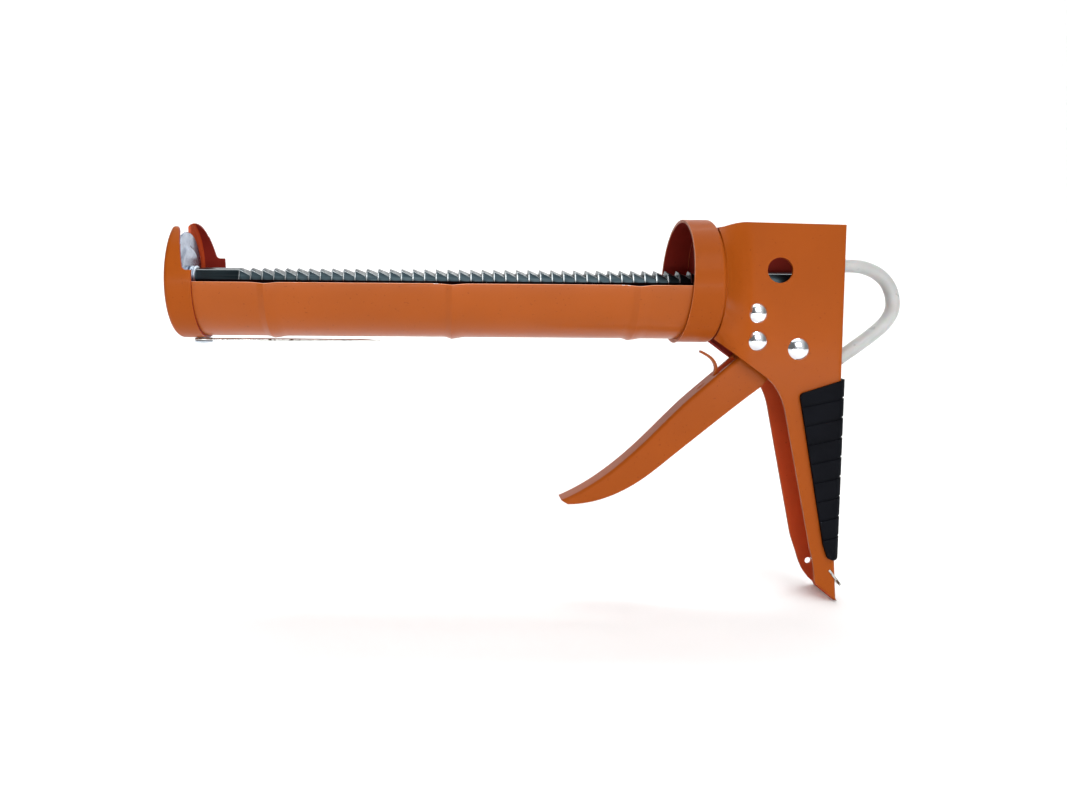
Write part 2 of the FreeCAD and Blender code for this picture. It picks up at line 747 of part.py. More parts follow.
def make_grip():
    """A rubber sleeve with slanted grooves that wraps the handle's spine."""
    half = mm("handle_width") / 2
    skin = mm("grip_skin")
    rib = mm("grip_rib")

    def envelope(growth):
        face = side_wire([
            [(277.3, -48.9), (294.05 + growth, -43.1)], [(294.05 + growth, -43.1), (291.45 + growth, -121.0)],
            [(291.45 + growth, -121.0), (290.1, -122.6), (287.5, -121.5)],
            [(287.5, -121.5), (285.7, -116.1)], [(285.7, -116.1), (275.2, -51.6)],
            [(275.2, -51.6), (275.6, -49.8), (277.3, -48.9)]])
        block = slab(face, half + growth)
        edges = [edge for edge in block.Edges
                 if edge.BoundBox.YLength < 0.01 and edge.BoundBox.XMin > 291.4 and edge.BoundBox.ZLength > 20]
        return block.makeFillet(mm("handle_bend") + 0.2 + growth, edges)

    outer = envelope(skin + rib)
    grooves = []
    for number in range(8):
        rear_z = -(mm("grip_first_groove") + number * mm("grip_pitch"))
        band = Part.makeBox(60, 40, mm("grip_groove"), Vector(-52, -20, 0))
        band.rotate(Vector(0, 0, 0), Vector(0, 1, 0), -mm("grip_slope"))
        band.translate(Vector(295, 0, rear_z))
        grooves.append(band)
    shell = outer.cut(envelope(skin))
    ribs = shell.cut(grooves)
    sleeve_solid = ribs.fuse(envelope(skin)).cut(envelope(0.02)).removeSplitter()
    hollow = slab(handle_outline(mm("handle_top"), mm("flare_back")), half + 0.02)
    back = [edge for edge in hollow.Edges
            if edge.BoundBox.YLength < 0.01 and edge.BoundBox.XMin > HANDLE_BACK_LOW[0] - 0.5
            and edge.BoundBox.ZLength > 20]
    hollow = hollow.makeFillet(mm("handle_bend"), back)
    return feature("grip_sleeve", sleeve_solid.cut(hollow).removeSplitter())


def cutter_strip(half_thickness, low, high, extra=0.0):
    """The slanted strip that the spout cutter fills, from low to high across the handle."""
    along = (flat_point(*CUTTER_END) - flat_point(*CUTTER_TOP)).normalize()
    across = flat_point(-along.z, along.x) * half_thickness
    start = flat_point(*CUTTER_TOP) - along * extra
    end = flat_point(*CUTTER_END) + along * extra
    corners = [start - across, end - across, end + across, start + across]
    face = Part.Face(Part.makePolygon(corners + corners[:1]))
    face.translate(Vector(0, low, 0))
    return face.extrude(Vector(0, high - low, 0))


def make_spout_cutter():
    """A small steel blade for cutting spouts, set in a slanted slot at the handle's foot."""
    half = mm("handle_width") / 2
    return feature("spout_cutter", cutter_strip(mm("cutter_thickness") / 2, -half - 0.3, CUTTER_REACH))


# ---------------------------------------------------------------- rivets and spacers

def dome_rivet(label, head, shaft, x, depth):
    """A rivet along Y with a polished dome on the near side and a low dome on the far side."""
    half = dim("handle_width") / 2
    tall = dim("rivet_head_height")
    low = dim("rivet_tail_height")
    near_radius = (head * head + tall * tall) / (tall * 2)
    far_radius = (head * head + low * low) / (low * 2)
    body = turned_piece(label, "XY_Plane", "V_Axis", [
        (0, -half - tall), (head, -half), (shaft, -half), (shaft, half), (head, half), (0, half + low)],
        {0: near_radius, 4: far_radius})
    put(body, x=x, z=-depth)
    return body


def make_rivets():
    shaft = dim("rivet_shaft_radius") - 0.02
    head = dim("rivet_head_radius")
    upper = dome_rivet("upper_rivet", head, shaft, dim("upper_rivet_x"), dim("upper_rivet_depth"))
    lower = dome_rivet("lower_rivet", head, shaft, dim("lower_rivet_x"), dim("lower_rivet_depth"))
    pivot = dome_rivet("trigger_pivot_rivet", dim("pivot_head_radius"),
                       dim("pivot_shaft_radius") - 0.05, dim("pivot_x"), dim("pivot_depth"))
    return [group("frame_rivets", [upper, lower]), pivot]


def make_spacers():
    """Steel tubes that hold the plates apart and keep the trigger and hold pawl in the middle."""
    inside = dim("handle_width") / 2 - dim("handle_sheet") - 0.02
    outer = dim("spacer_radius")
    stop = sleeve("stop_tube", outer, dim("rivet_shaft_radius"), -inside, inside)
    stop_group = group("trigger_stop_spacer", [stop])
    put(stop_group, x=dim("lower_rivet_x"), z=-dim("lower_rivet_depth"))
    pawl_edge = dim("pawl_half_width") + 0.1
    pawl_tubes = [
        sleeve("pawl_tube_near", outer, dim("rivet_shaft_radius"), -inside, -pawl_edge),
        sleeve("pawl_tube_far", outer, dim("rivet_shaft_radius"), pawl_edge + 3.2, inside)]
    pawl_group = group("pawl_spacers", pawl_tubes)
    put(pawl_group, x=dim("upper_rivet_x"), z=-dim("upper_rivet_depth"))
    trigger_edge = dim("trigger_width") / 2 + 0.1
    pivot_tubes = [
        sleeve("pivot_tube_near", 4.5, dim("pivot_shaft_radius"), -inside, -trigger_edge),
        sleeve("pivot_tube_far", 4.5, dim("pivot_shaft_radius"), trigger_edge, inside)]
    pivot_group = group("pivot_spacers", pivot_tubes)
    put(pivot_group, x=dim("pivot_x"), z=-dim("pivot_depth"))
    return [stop_group, pawl_group, pivot_group]


# ---------------------------------------------------------------- trigger and pawls

LEVER_TIP = (171.1, -98.9)
LEVER_TOP = [LEVER_TIP, (187.9, -89.5), (208.4, -72.4), (223.9, -57.0), (231.4, -50.2)]
LEVER_UNDER = [(259.8, -47.4), (233.9, -67.7), (219.9, -79.0), (206.4, -89.5), (188.6, -98.2), (173.9, -100.5)]
LEVER_STEP = [(253.2, -31.6), (254.9, -30.3), (259.9, -30.3)]
HOOK_PATH = [(232.5, -50.2), (236.3, -46.6), (239.9, -43.6), (241.5, -40.2), (240.3, -36.1), (237.6, -33.7),
             (234.3, -32.0)]
HOOK_HALF_WIDTH = 1.3


def spline_edge(points):
    curve = Part.BSplineCurve()
    curve.interpolate([flat_point(*point) for point in points])
    return curve.toShape()


def lever_face(top_shift=0.0):
    """The lever's side view; top_shift moves its upper edge down, which leaves the web out."""
    slide = Vector(0.66, 0, -0.75) * top_shift
    top = [flat_point(*point) + slide for point in LEVER_TOP + LEVER_STEP[:1]]
    curve = Part.BSplineCurve()
    curve.interpolate(top[:-1])
    edges = [curve.toShape(), Part.LineSegment(top[-2], top[-1]).toShape()]
    last = top[-1]
    for point in [flat_point(*corner) for corner in LEVER_STEP[1:]]:
        edges.append(Part.LineSegment(last, point).toShape())
        last = point
    knee = flat_point(mm("pivot_x"), -mm("pivot_depth"))
    edges.append(Part.LineSegment(last, knee).toShape())
    edges.append(Part.LineSegment(knee, flat_point(*LEVER_UNDER[0])).toShape())
    edges.append(spline_edge(LEVER_UNDER))
    edges.append(Part.LineSegment(flat_point(*LEVER_UNDER[-1]), top[0]).toShape())
    return Part.Face(Part.Wire(edges))


def pawl_pin_place():
    angle = math.radians(mm("trigger_arm_angle"))
    return (mm("pivot_x") + mm("trigger_arm") * math.cos(angle),
            -mm("pivot_depth") + mm("trigger_arm") * math.sin(angle))


def make_trigger():
    """A folded channel: web on the front, two cheeks back to the pivot and up to the drive pawl."""
    half = mm("trigger_width") / 2
    wall = mm("handle_sheet")
    pivot = (mm("pivot_x"), -mm("pivot_depth"))
    pin = pawl_pin_place()
    lever = lever_face()
    block = slab(lever, half)
    top_edges = [edge for edge in block.Edges
                 if edge.BoundBox.YLength < 0.01 and edge.BoundBox.ZMin < -90
                 and abs(edge.BoundBox.ZMax - LEVER_TOP[-1][1]) < 1.5]
    block = block.makeFillet(1.6, top_edges)
    inside = slab(lever_face(wall), half - wall)
    cheek = link_face((pivot[0], pivot[1], 7.5), (pin[0], pin[1], 4.0))
    cheeks = slab(cheek, half, half - wall)
    trigger = block.cut(inside).fuse(cheeks)
    web_gap = Part.makeBox(13, 5.8, 6, Vector(0, -2.9, -3))
    web_gap.rotate(Vector(0, 0, 0), Vector(0, 1, 0), -41)
    web_gap.translate(Vector(240.5, 0, -43.5))
    end_gap = Part.makeBox(12, 2 * (half - wall), 14, Vector(253.3, -(half - wall), -38))
    trigger = trigger.cut([web_gap, end_gap])
    hook_line = Part.BSplineCurve()
    hook_line.interpolate([flat_point(*point) for point in HOOK_PATH])
    hook_face = Part.Face(Part.Wire(ribbon(hook_line, 1.1)))
    trigger = trigger.fuse(slab(hook_face, HOOK_HALF_WIDTH))
    holes = [rod_solid(pivot[0], pivot[1], mm("pivot_shaft_radius"), -half - 1, half + 1),
             rod_solid(pin[0], pin[1], mm("pawl_pin_radius") + 0.02, -half - 1, half + 1)]
    return feature("trigger", trigger.cut(holes).removeSplitter())


def ribbon(curve, thickness):
    """Edges of a strip of constant thickness along a plane curve."""
    steps = 12
    first = curve.FirstParameter
    span = curve.LastParameter - first
    sides = []
    for offset in (-thickness / 2, thickness / 2):
        points = []
        for step in range(steps + 1):
            at = first + span * step / steps
            tangent = curve.tangent(at)[0]
            normal = Vector(tangent.z, 0, -tangent.x)
            points.append(curve.value(at) + normal * offset)
        side = Part.BSplineCurve()
        side.interpolate(points)
        sides.append(side)
    left, right = sides
    return [left.toShape(),
            Part.LineSegment(left.value(left.LastParameter), right.value(right.LastParameter)).toShape(),
            right.toShape(),
            Part.LineSegment(right.value(right.FirstParameter), left.value(left.FirstParameter)).toShape()]


def make_pawls():
    """The drive pawl on the trigger's arm and the hold pawl on the upper rivet."""
    width = mm("pawl_half_width")
    pin = pawl_pin_place()
    tip_height = -5.95
    drive_tip = side_face([(pin[0] - 8.2, tip_height), (pin[0] - 5.6, tip_height - 0.8),
                           (pin[0] + 3.0, pin[1] + 1.5), (pin[0] - 2.6, pin[1] - 2.2),
                           (pin[0] - 8.0, tip_height - 4.2)])
    drive = slab(drive_tip.fuse(disc_face(pin[0], pin[1], 3.6)).removeSplitter(), width)
    drive = drive.cut(rod_solid(pin[0], pin[1], mm("pawl_pin_radius") + 0.05, -10, 10))
    upper = (mm("upper_rivet_x"), -mm("upper_rivet_depth"))
    hold_tip = side_face([(upper[0] - 7.4, -5.0), (upper[0] - 4.9, -5.8), (upper[0] + 3.4, upper[1] + 1.6),
                          (upper[0] - 2.4, upper[1] - 3.0), (upper[0] - 7.2, -9.0)])
    hold = slab(hold_tip.fuse(disc_face(upper[0], upper[1], 4.0)).removeSplitter(), width)
    hold = hold.cut(rod_solid(upper[0], upper[1], mm("rivet_shaft_radius") + 0.05, -10, 10))
    return [feature("drive_pawl", drive), feature("hold_pawl", hold)]


def make_pawl_pin():
    half = dim("trigger_width") / 2
    radius = dim("pawl_pin_radius")
    pin = turned_piece("drive_pawl_pin", "XY_Plane", "V_Axis", [
        (0, -half - 1), (radius + 0.4, -half - 1), (radius + 1, -half - 0.4), (radius + 1, -half - 0.02),
        (radius, -half - 0.02), (radius, half + 0.02), (radius + 1, half + 0.02),
        (radius + 1, half + 0.4), (radius + 0.4, half + 1), (0, half + 1)])
    angle = mm("trigger_arm_angle")
    put(pin, x=dim("pivot_x") + dim("trigger_arm") * math.cos(math.radians(angle)),
        z=dim("trigger_arm") * math.sin(math.radians(angle)) - dim("pivot_depth"))
    return pin


def make_springs():
    """Three torsion springs: on the trigger's pivot, on the pawl pin and on the hold pawl's rivet."""
    pin = pawl_pin_place()
    trigger_spring = coil_spring(mm("pivot_x"), -mm("pivot_depth"), -3.3, 7, 3.6, 0.55,
                                 ((215, 20), (-55, 15)))
    drive_spring = coil_spring(pin[0], pin[1], 2.4, 4, 2.3, 0.32, ((140, 7), (200, 5)))
    hold_spring = coil_spring(mm("upper_rivet_x"), -mm("upper_rivet_depth"), 2.4, 5, 2.7, 0.32,
                              ((125, 9), (250, 6)))
    return [feature("trigger_return_spring", trigger_spring),
            feature("drive_pawl_spring", drive_spring), feature("hold_pawl_spring", hold_spring)]


# ---------------------------------------------------------------- needle

def make_needle():
    """A steel wire with an eye, which swings out from under the barrel to pierce a cartridge seal."""
    wire = mm("needle_wire_radius")
    eye = mm("needle_eye_radius")
    x = mm("needle_x")
    z = -mm("needle_depth")
    ring = Part.makeTorus(eye, wire, Vector(x, 0, z), Vector(0, 0, 1))
    length = mm("needle_tip") - x - eye - 4
    shank = Part.makeCylinder(wire, length, Vector(x + eye, 0, z), Vector(1, 0, 0))
    point = Part.makeCone(wire, 0.2, 4, Vector(x + eye + length, 0, z), Vector(1, 0, 0))
    needle = feature("needle", ring.fuse([shank, point]).removeSplitter())
    neck = dim("needle_eye_radius") - dim("needle_wire_radius") - 0.05
    shank = dim("needle_rivet_radius")
    top = -(dim("cradle_radius") - dim("barrel_sheet"))
    seat = -(dim("cradle_radius") + dim("sheet_fit_gap") + dim("barrel_sheet")) - 0.02
    low = -dim("needle_depth") - dim("needle_wire_radius") - 0.1
    rivet = turned_piece("needle_rivet", "XZ_Plane", "V_Axis", [
        (0, top), (shank, top), (shank, seat), (neck, seat), (neck, low), (neck + 1.2, low),
        (neck + 0.7, low - 0.8), (0, low - 0.8)])
    put(rivet, x=dim("needle_x"))
    return [needle, rivet]


# ---------------------------------------------------------------- build and write

pieces = [make_front_cap(), make_cradle(), make_rear_collar(), *make_rod_bushes(), make_ratchet_rod(),
          *make_disc_set(), *make_pull_hook(), make_handle(), make_grip(), make_spout_cutter(),
          *make_rivets(), *make_spacers(), make_trigger(), *make_pawls(), make_pawl_pin(),
          *make_springs(), *make_needle()]
doc.recompute()

for item in doc.Objects:
    if "Invalid" in item.State or "Error" in item.State:
        raise RuntimeError(f"{item.Label} failed: {item.State}")
for piece in pieces:
    shape = piece.Shape
    if shape.isNull() or not shape.isValid() or not shape.Solids:
        raise RuntimeError(f"{piece.Label} has no valid solid")
    shape.exportStep(f"parts/{piece.Label}.step")
    box = shape.BoundBox
    print(f"{piece.Label:24s} solids {len(shape.Solids)}  volume {shape.Volume:9.1f}  "
          f"x {box.XMin:.1f}..{box.XMax:.1f}  y {box.YMin:.1f}..{box.YMax:.1f}  z {box.ZMin:.1f}..{box.ZMax:.1f}")
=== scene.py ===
import json
import math

import bmesh
import bpy
from mathutils import Matrix, Vector, noise


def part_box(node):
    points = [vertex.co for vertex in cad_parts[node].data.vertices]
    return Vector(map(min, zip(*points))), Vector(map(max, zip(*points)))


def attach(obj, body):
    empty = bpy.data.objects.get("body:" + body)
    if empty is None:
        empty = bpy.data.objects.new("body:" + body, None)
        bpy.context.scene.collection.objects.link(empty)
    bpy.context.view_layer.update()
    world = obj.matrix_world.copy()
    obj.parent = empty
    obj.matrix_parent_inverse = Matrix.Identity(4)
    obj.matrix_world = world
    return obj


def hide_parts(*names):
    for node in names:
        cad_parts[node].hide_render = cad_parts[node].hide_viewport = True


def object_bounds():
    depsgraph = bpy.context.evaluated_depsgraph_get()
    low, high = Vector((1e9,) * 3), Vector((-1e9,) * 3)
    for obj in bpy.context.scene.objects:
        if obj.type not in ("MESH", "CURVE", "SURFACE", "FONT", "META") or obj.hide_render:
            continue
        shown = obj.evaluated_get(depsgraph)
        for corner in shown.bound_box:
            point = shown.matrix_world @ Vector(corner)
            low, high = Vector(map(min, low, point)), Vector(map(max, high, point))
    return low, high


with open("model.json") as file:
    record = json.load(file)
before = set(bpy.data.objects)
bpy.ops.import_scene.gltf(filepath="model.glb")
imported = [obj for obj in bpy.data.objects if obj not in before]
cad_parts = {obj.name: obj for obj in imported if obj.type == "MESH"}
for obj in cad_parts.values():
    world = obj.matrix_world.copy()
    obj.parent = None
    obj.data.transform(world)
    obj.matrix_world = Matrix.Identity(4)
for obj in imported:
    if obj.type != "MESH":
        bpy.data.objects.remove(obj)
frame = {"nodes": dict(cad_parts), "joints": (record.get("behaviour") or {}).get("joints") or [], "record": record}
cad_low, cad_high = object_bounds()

MM = 0.001


# ---------------------------------------------------------------- camera, floor and light

CAMERA_PLACE = Vector((0.1209, -0.373, -0.005))
CAMERA_ROLL = 0.0080
SENSOR = 36
LENS = 27.66635
SHIFT_X = 0.0773196
SHIFT_Y = -0.1030928
FLOOR_GAP = 0.0005


def make_camera():
    data = bpy.data.cameras.new("camera")
    data.sensor_width = SENSOR
    data.lens = LENS
    data.shift_x = SHIFT_X
    data.shift_y = SHIFT_Y
    data.clip_start = 0.01
    camera = bpy.data.objects.new("camera", data)
    turn = Matrix.Rotation(math.radians(90), 4, "X") @ Matrix.Rotation(CAMERA_ROLL, 4, "Z")
    camera.matrix_world = Matrix.Translation(CAMERA_PLACE) @ turn
    bpy.context.scene.collection.objects.link(camera)
    bpy.context.scene.camera = camera


def new_object(name, mesh):
    thing = bpy.data.objects.new(name, mesh)
    bpy.context.scene.collection.objects.link(thing)
    return thing


def make_floor():
    """A pale floor that curves up into a backdrop."""
    floor_height = cad_low.z - FLOOR_GAP
    half_width = 6.0
    backdrop_top = 4.0
    front, turn, radius = -3.0, 1.2, 0.8
    outline = [(front, 0.0), (turn, 0.0)]
    steps = 24
    for step in range(1, steps + 1):
        angle = math.pi / 2 * step / steps
        outline.append((turn + radius * math.sin(angle), radius - radius * math.cos(angle)))
    outline.append((turn + radius, backdrop_top))
    mesh = bpy.data.meshes.new("floor")
    points = [(x, y, floor_height + z) for x in (-half_width, half_width) for y, z in outline]
    count = len(outline)
    faces = [(i, i + 1, count + i + 1, count + i) for i in range(count - 1)]
    mesh.from_pydata(points, [], faces)
    mesh.polygons.foreach_set("use_smooth", [True] * len(mesh.polygons))
    floor = new_object("floor", mesh)
    floor.data.materials.append(make_floor_material())


def make_floor_material():
    material = bpy.data.materials.new("pale_floor")
    material.use_nodes = True
    shader = material.node_tree.nodes["Principled BSDF"]
    shader.inputs["Base Color"].default_value = (0.95, 0.95, 0.95, 1)
    shader.inputs["Roughness"].default_value = 0.8
    return material


def area_light(name, place, target, width, height, power):
    data = bpy.data.lights.new(name, "AREA")
    data.shape = "RECTANGLE"
    data.size = width
    data.size_y = height
    data.energy = power
    light = bpy.data.objects.new(name, data)
    light.location = place
    light.rotation_mode = "QUATERNION"
    light.rotation_quaternion = (Vector(target) - Vector(place)).to_track_quat("-Z", "Y")
    bpy.context.scene.collection.objects.link(light)


WORLD_LEVELS = ((0.28, 0.16), (0.47, 0.86), (0.78, 0.86), (0.94, 0.25))


def shade_world(tree, background):
    """Dim cards at both ends of the tool, as in a product studio; the rest is an even white tent."""
    place = tree.nodes.new("ShaderNodeTexCoord")
    split = tree.nodes.new("ShaderNodeSeparateXYZ")
    tree.links.new(place.outputs["Generated"], split.inputs["Vector"])
    spread = tree.nodes.new("ShaderNodeMapRange")
    spread.inputs["From Min"].default_value = -1
    tree.links.new(split.outputs["X"], spread.inputs["Value"])
    ramp = tree.nodes.new("ShaderNodeValToRGB")
    elements = ramp.color_ramp.elements
    while len(elements) < len(WORLD_LEVELS):
        elements.new(0.5)
    for element, (position, level) in zip(elements, WORLD_LEVELS):
        element.position = position
        element.color = (level, level, level, 1)
    tree.links.new(spread.outputs["Result"], ramp.inputs["Fac"])
    tree.links.new(ramp.outputs["Color"], background.inputs["Strength"])


TOOL_MIDDLE = (0.14, 0.0, -0.03)
LIGHTS = (  # name, place, target, width, height, watts
    ("front", (0.45, -1.4, 0.95), TOOL_MIDDLE, 1.3, 0.9, 12),
    ("low", (0.2, -0.8, -0.12), TOOL_MIDDLE, 1.2, 0.08, 3.0),
    ("backdrop", (0.12, 0.8, 2.0), (0.12, 2.0, 0.2), 2.5, 0.6, 30),
    ("floor_wash", (0.12, -0.3, 2.2), (0.12, 0.4, -0.14), 2.4, 1.4, 14),
)


def make_lights():
    world = bpy.data.worlds.new("studio")
    bpy.context.scene.world = world
    world.use_nodes = True
    background = world.node_tree.nodes["Background"]
    background.inputs["Color"].default_value = (1, 1, 1, 1)
    shade_world(world.node_tree, background)
    for light in LIGHTS:
        area_light(*light)
    bpy.context.scene.view_settings.view_transform = "Standard"


# ---------------------------------------------------------------- materials

class Nodes:
    """A short way to build one material's node tree."""

    def __init__(self, name):
        self.material = bpy.data.materials.new(name)
        self.material.use_nodes = True
        self.tree = self.material.node_tree
        self.shader = self.tree.nodes["Principled BSDF"]
        self.place = self.add("ShaderNodeTexCoord").outputs["Object"]

    def add(self, kind, **settings):
        node = self.tree.nodes.new(kind)
        for key, setting in settings.items():
            setattr(node, key, setting)
        return node

    def link(self, source, target):
        self.tree.links.new(source, target)

    def set(self, **numbers):
        for key, number in numbers.items():
            self.shader.inputs[key.replace("_", " ")].default_value = number

    def noise(self, scale, detail, stretch=(1, 1, 1)):
        """Noise over the object's own coordinates; scale is in repeats per metre."""
        mapping = self.add("ShaderNodeMapping")
        mapping.inputs["Scale"].default_value = stretch
        self.link(self.place, mapping.inputs["Vector"])
        texture = self.add("ShaderNodeTexNoise")
        texture.inputs["Scale"].default_value = scale
        texture.inputs["Detail"].default_value = detail
        self.link(mapping.outputs["Vector"], texture.inputs["Vector"])
        return texture.outputs["Fac"]

    def ramp(self, source, stops):
        """stops are (position, colour or grey)."""
        node = self.add("ShaderNodeValToRGB")
        elements = node.color_ramp.elements
        while len(elements) < len(stops):
            elements.new(0.5)
        for element, (position, colour) in zip(elements, stops):
            element.position = position
            element.color = (*colour, 1) if isinstance(colour, tuple) else (colour, colour, colour, 1)
        self.link(source, node.inputs["Fac"])
        return node.outputs["Color"]

    def mix(self, amount, first, second):
        """A colour mix; a Mix node keeps its colour sockets after its number and vector ones."""
        factor, colour_a, colour_b, colour_out = 0, 6, 7, 2
        node = self.add("ShaderNodeMix", data_type="RGBA", blend_type="MIX")
        self.feed(amount, node.inputs[factor])
        self.feed(first, node.inputs[colour_a])
        self.feed(second, node.inputs[colour_b])
        return node.outputs[colour_out]

    def feed(self, thing, target):
        if isinstance(thing, bpy.types.NodeSocket):
            self.link(thing, target)
        elif isinstance(thing, tuple):
            target.default_value = (*thing, 1)
        else:
            target.default_value = thing

    def bump(self, source, height, strength):
        node = self.add("ShaderNodeBump")
        node.inputs["Distance"].default_value = height
        node.inputs["Strength"].default_value = strength
        self.link(source, node.inputs["Height"])
        self.link(node.outputs["Normal"], self.shader.inputs["Normal"])

    def colour(self, source):
        self.feed(source, self.shader.inputs["Base Color"])

    def rough(self, source, low, high):
        node = self.add("ShaderNodeMapRange")
        node.inputs["To Min"].default_value = low
        node.inputs["To Max"].default_value = high
        self.link(source, node.inputs["Value"])
        self.link(node.outputs["Result"], self.shader.inputs["Roughness"])


PEEL_HEIGHT = 0.00002


def enamel(name, colour, shade, rough=(0.27, 0.38), level=0.17, coat=0.08):
    """Sprayed enamel: soft cloudy tone, fine orange peel and a few specks."""
    nodes = Nodes(name)
    cloud = nodes.noise(22, 4)
    dark = tuple(channel * shade for channel in colour)
    light = tuple(min(1, channel * (2 - shade)) for channel in colour)
    tone = nodes.ramp(cloud, [(0.3, dark), (0.5, colour), (0.72, light)])
    specks = nodes.ramp(nodes.noise(900, 1), [(0.70, 0.0), (0.76, 1.0)])
    speck_shade = 0.72
    nodes.colour(nodes.mix(specks, tone, tuple(channel * speck_shade for channel in colour)))
    nodes.rough(nodes.noise(60, 3), *rough)
    nodes.bump(nodes.noise(700, 2), PEEL_HEIGHT, 0.6)
    nodes.set(Specular_IOR_Level=level, Coat_Weight=coat, Coat_Roughness=0.12)
    return nodes.material


def metal(name, dark, light, rough, grain=(1, 1, 1), scale=400, height=0.000008, spots=None):
    """Plated or drawn steel with grain and cloudy tone; grain below 1 draws the streaks out along an axis."""
    nodes = Nodes(name)
    streak = nodes.noise(scale, 5, grain)
    cloud = nodes.noise(90, 3)
    tone = nodes.ramp(streak, [(0.3, dark), (0.7, light)])
    middle = tuple((a + b) / 2 for a, b in zip(dark, light))
    tone = nodes.mix(nodes.ramp(cloud, [(0.35, 0.0), (0.75, 0.6)]), tone, middle)
    if spots:
        mask = nodes.ramp(nodes.noise(330, 4), [(0.60, 0.0), (0.68, 1.0)])
        tone = nodes.mix(mask, tone, spots)
    nodes.colour(tone)
    nodes.rough(cloud, *rough)
    nodes.bump(streak, height, 0.5)
    nodes.set(Metallic=1.0, Specular_IOR_Level=0.5)
    return nodes.material


def rubber(name):
    """Moulded black rubber, matte and faintly grained."""
    nodes = Nodes(name)
    cloud = nodes.noise(80, 4)
    nodes.colour(nodes.ramp(cloud, [(0.3, (0.0012, 0.0015, 0.0030)), (0.7, (0.0026, 0.0031, 0.0055))]))
    nodes.rough(nodes.noise(250, 3), 0.5, 0.68)
    nodes.bump(nodes.noise(2600, 2), 0.00003, 0.5)
    nodes.set(Specular_IOR_Level=0.06)
    return nodes.material


def clear_tube(name):
    """Milky soft plastic over the hook's wire."""
    nodes = Nodes(name)
    cloud = nodes.noise(120, 3)
    nodes.colour(nodes.ramp(cloud, [(0.3, (0.42, 0.43, 0.425)), (0.7, (0.50, 0.51, 0.505))]))
    nodes.rough(nodes.noise(300, 2), 0.22, 0.4)
    nodes.bump(nodes.noise(260, 2), 0.00004, 0.4)
    nodes.set(Specular_IOR_Level=0.4, Transmission_Weight=0.12)
    nodes.set(Subsurface_Weight=0.35, Subsurface_Scale=0.002)
    return nodes.material


ORANGE = (0.325, 0.069, 0.0055)
# Painted shade: a darker copy of the trough's orange that darkens the cap, collar, trigger and handle.
SHADED_ORANGE = (0.295, 0.060, 0.0045)
# Painted highlight: a light orange for the faces of rounded sheet edges, where light catches them.
EDGE_HIGHLIGHT_ORANGE = (0.68, 0.22, 0.085)
# Painted shade: a dark red for inner faces of the trough, cap, collar and handle head, where shade falls.
INSIDE_SHADE_RED = (0.24, 0.022, 0.014)
# Painted light: a lighter, redder copy of the orange for inner faces of the handle's and trigger's channels and
# the cap's front, standing in for the light that reaches them.
CHANNEL_LIT_RED = (0.52, 0.075, 0.020)
DRAWN = (0.06, 1, 1)

materials = {
    "orange_paint": enamel("orange_paint", ORANGE, 0.94),
    # painted shade: the darker enamel for the cap, collar, trigger and handle
    "shaded_paint": enamel("shaded_paint", SHADED_ORANGE, 0.94, (0.32, 0.44), 0.07, 0.03),
    # painted highlight on rounded sheet edges
    "orange_edge_highlight": enamel("orange_edge_highlight", EDGE_HIGHLIGHT_ORANGE, 0.9, (0.2, 0.3), 0.45),
    # painted shade on inner faces
    "orange_inside_shade": enamel("orange_inside_shade", INSIDE_SHADE_RED, 0.85, (0.4, 0.55), 0.12),
    # painted light on inner channel faces
    "orange_channel_lit": enamel("orange_channel_lit", CHANNEL_LIT_RED, 0.85, (0.4, 0.55), 0.12),
    "dark_steel": metal("dark_steel", (0.012, 0.022, 0.028), (0.04, 0.055, 0.062), (0.22, 0.36), DRAWN, 900),
    # painted highlight: lighter steel on the rod's crest edges and tooth crests
    "rod_highlight": metal("rod_highlight", (0.18, 0.2, 0.21), (0.42, 0.45, 0.46), (0.2, 0.32), DRAWN, 900),
    "zinc": metal("zinc", (0.40, 0.47, 0.55), (0.62, 0.68, 0.75), (0.24, 0.4), scale=260),
    "disc_zinc": metal("disc_zinc", (0.17, 0.20, 0.27), (0.40, 0.45, 0.54), (0.16, 0.30), scale=260),
    "bright_steel": metal("bright_steel", (0.42, 0.42, 0.40), (0.72, 0.72, 0.70), (0.16, 0.3),
                          spots=(0.08, 0.05, 0.03)),
    "hard_steel": metal("hard_steel", (0.14, 0.14, 0.155), (0.24, 0.24, 0.26), (0.3, 0.45)),
    "chrome": metal("chrome", (0.72, 0.75, 0.80), (0.90, 0.92, 0.95), (0.05, 0.11), scale=120,
                    height=0.000003),
    "black_rubber": rubber("black_rubber"),
    "clear_sleeve": clear_tube("clear_sleeve"),
    "bare_chip": metal("bare_chip", (0.62, 0.50, 0.46), (0.80, 0.72, 0.68), (0.4, 0.6)),
}
# The cap, collar and trigger take the painted-shade enamel; the disc takes its darker zinc.
PAINT_OF = {"front_cap": "shaded_paint", "rear_collar": "shaded_paint", "trigger": "shaded_paint",
            "pusher_disc": "disc_zinc"}
SLOT_OF = {entry["node"]: entry["material_slot"] for entry in frame["record"]["subparts"]}
BODY_OF = {node: body
           for body, nodes in frame["record"]["behaviour"]["bodies"].items() for node in nodes}


# ---------------------------------------------------------------- shared mesh tools

def flat(x, z, y=0.0):
    """A point from millimetres."""
    return Vector((x * MM, y * MM, z * MM))


def tidy_mesh(name, points, faces, smooth=True):
    mesh = bpy.data.meshes.new(name)
    mesh.from_pydata(points, [], faces)
    mesh.validate()
    mesh.polygons.foreach_set("use_smooth", [smooth] * len(mesh.polygons))
    return mesh


def keep(piece, node, *more):
    """Ride the piece on its node's body and hide the nodes that it stands for."""
    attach(piece, BODY_OF[node])
    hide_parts(node, *more)


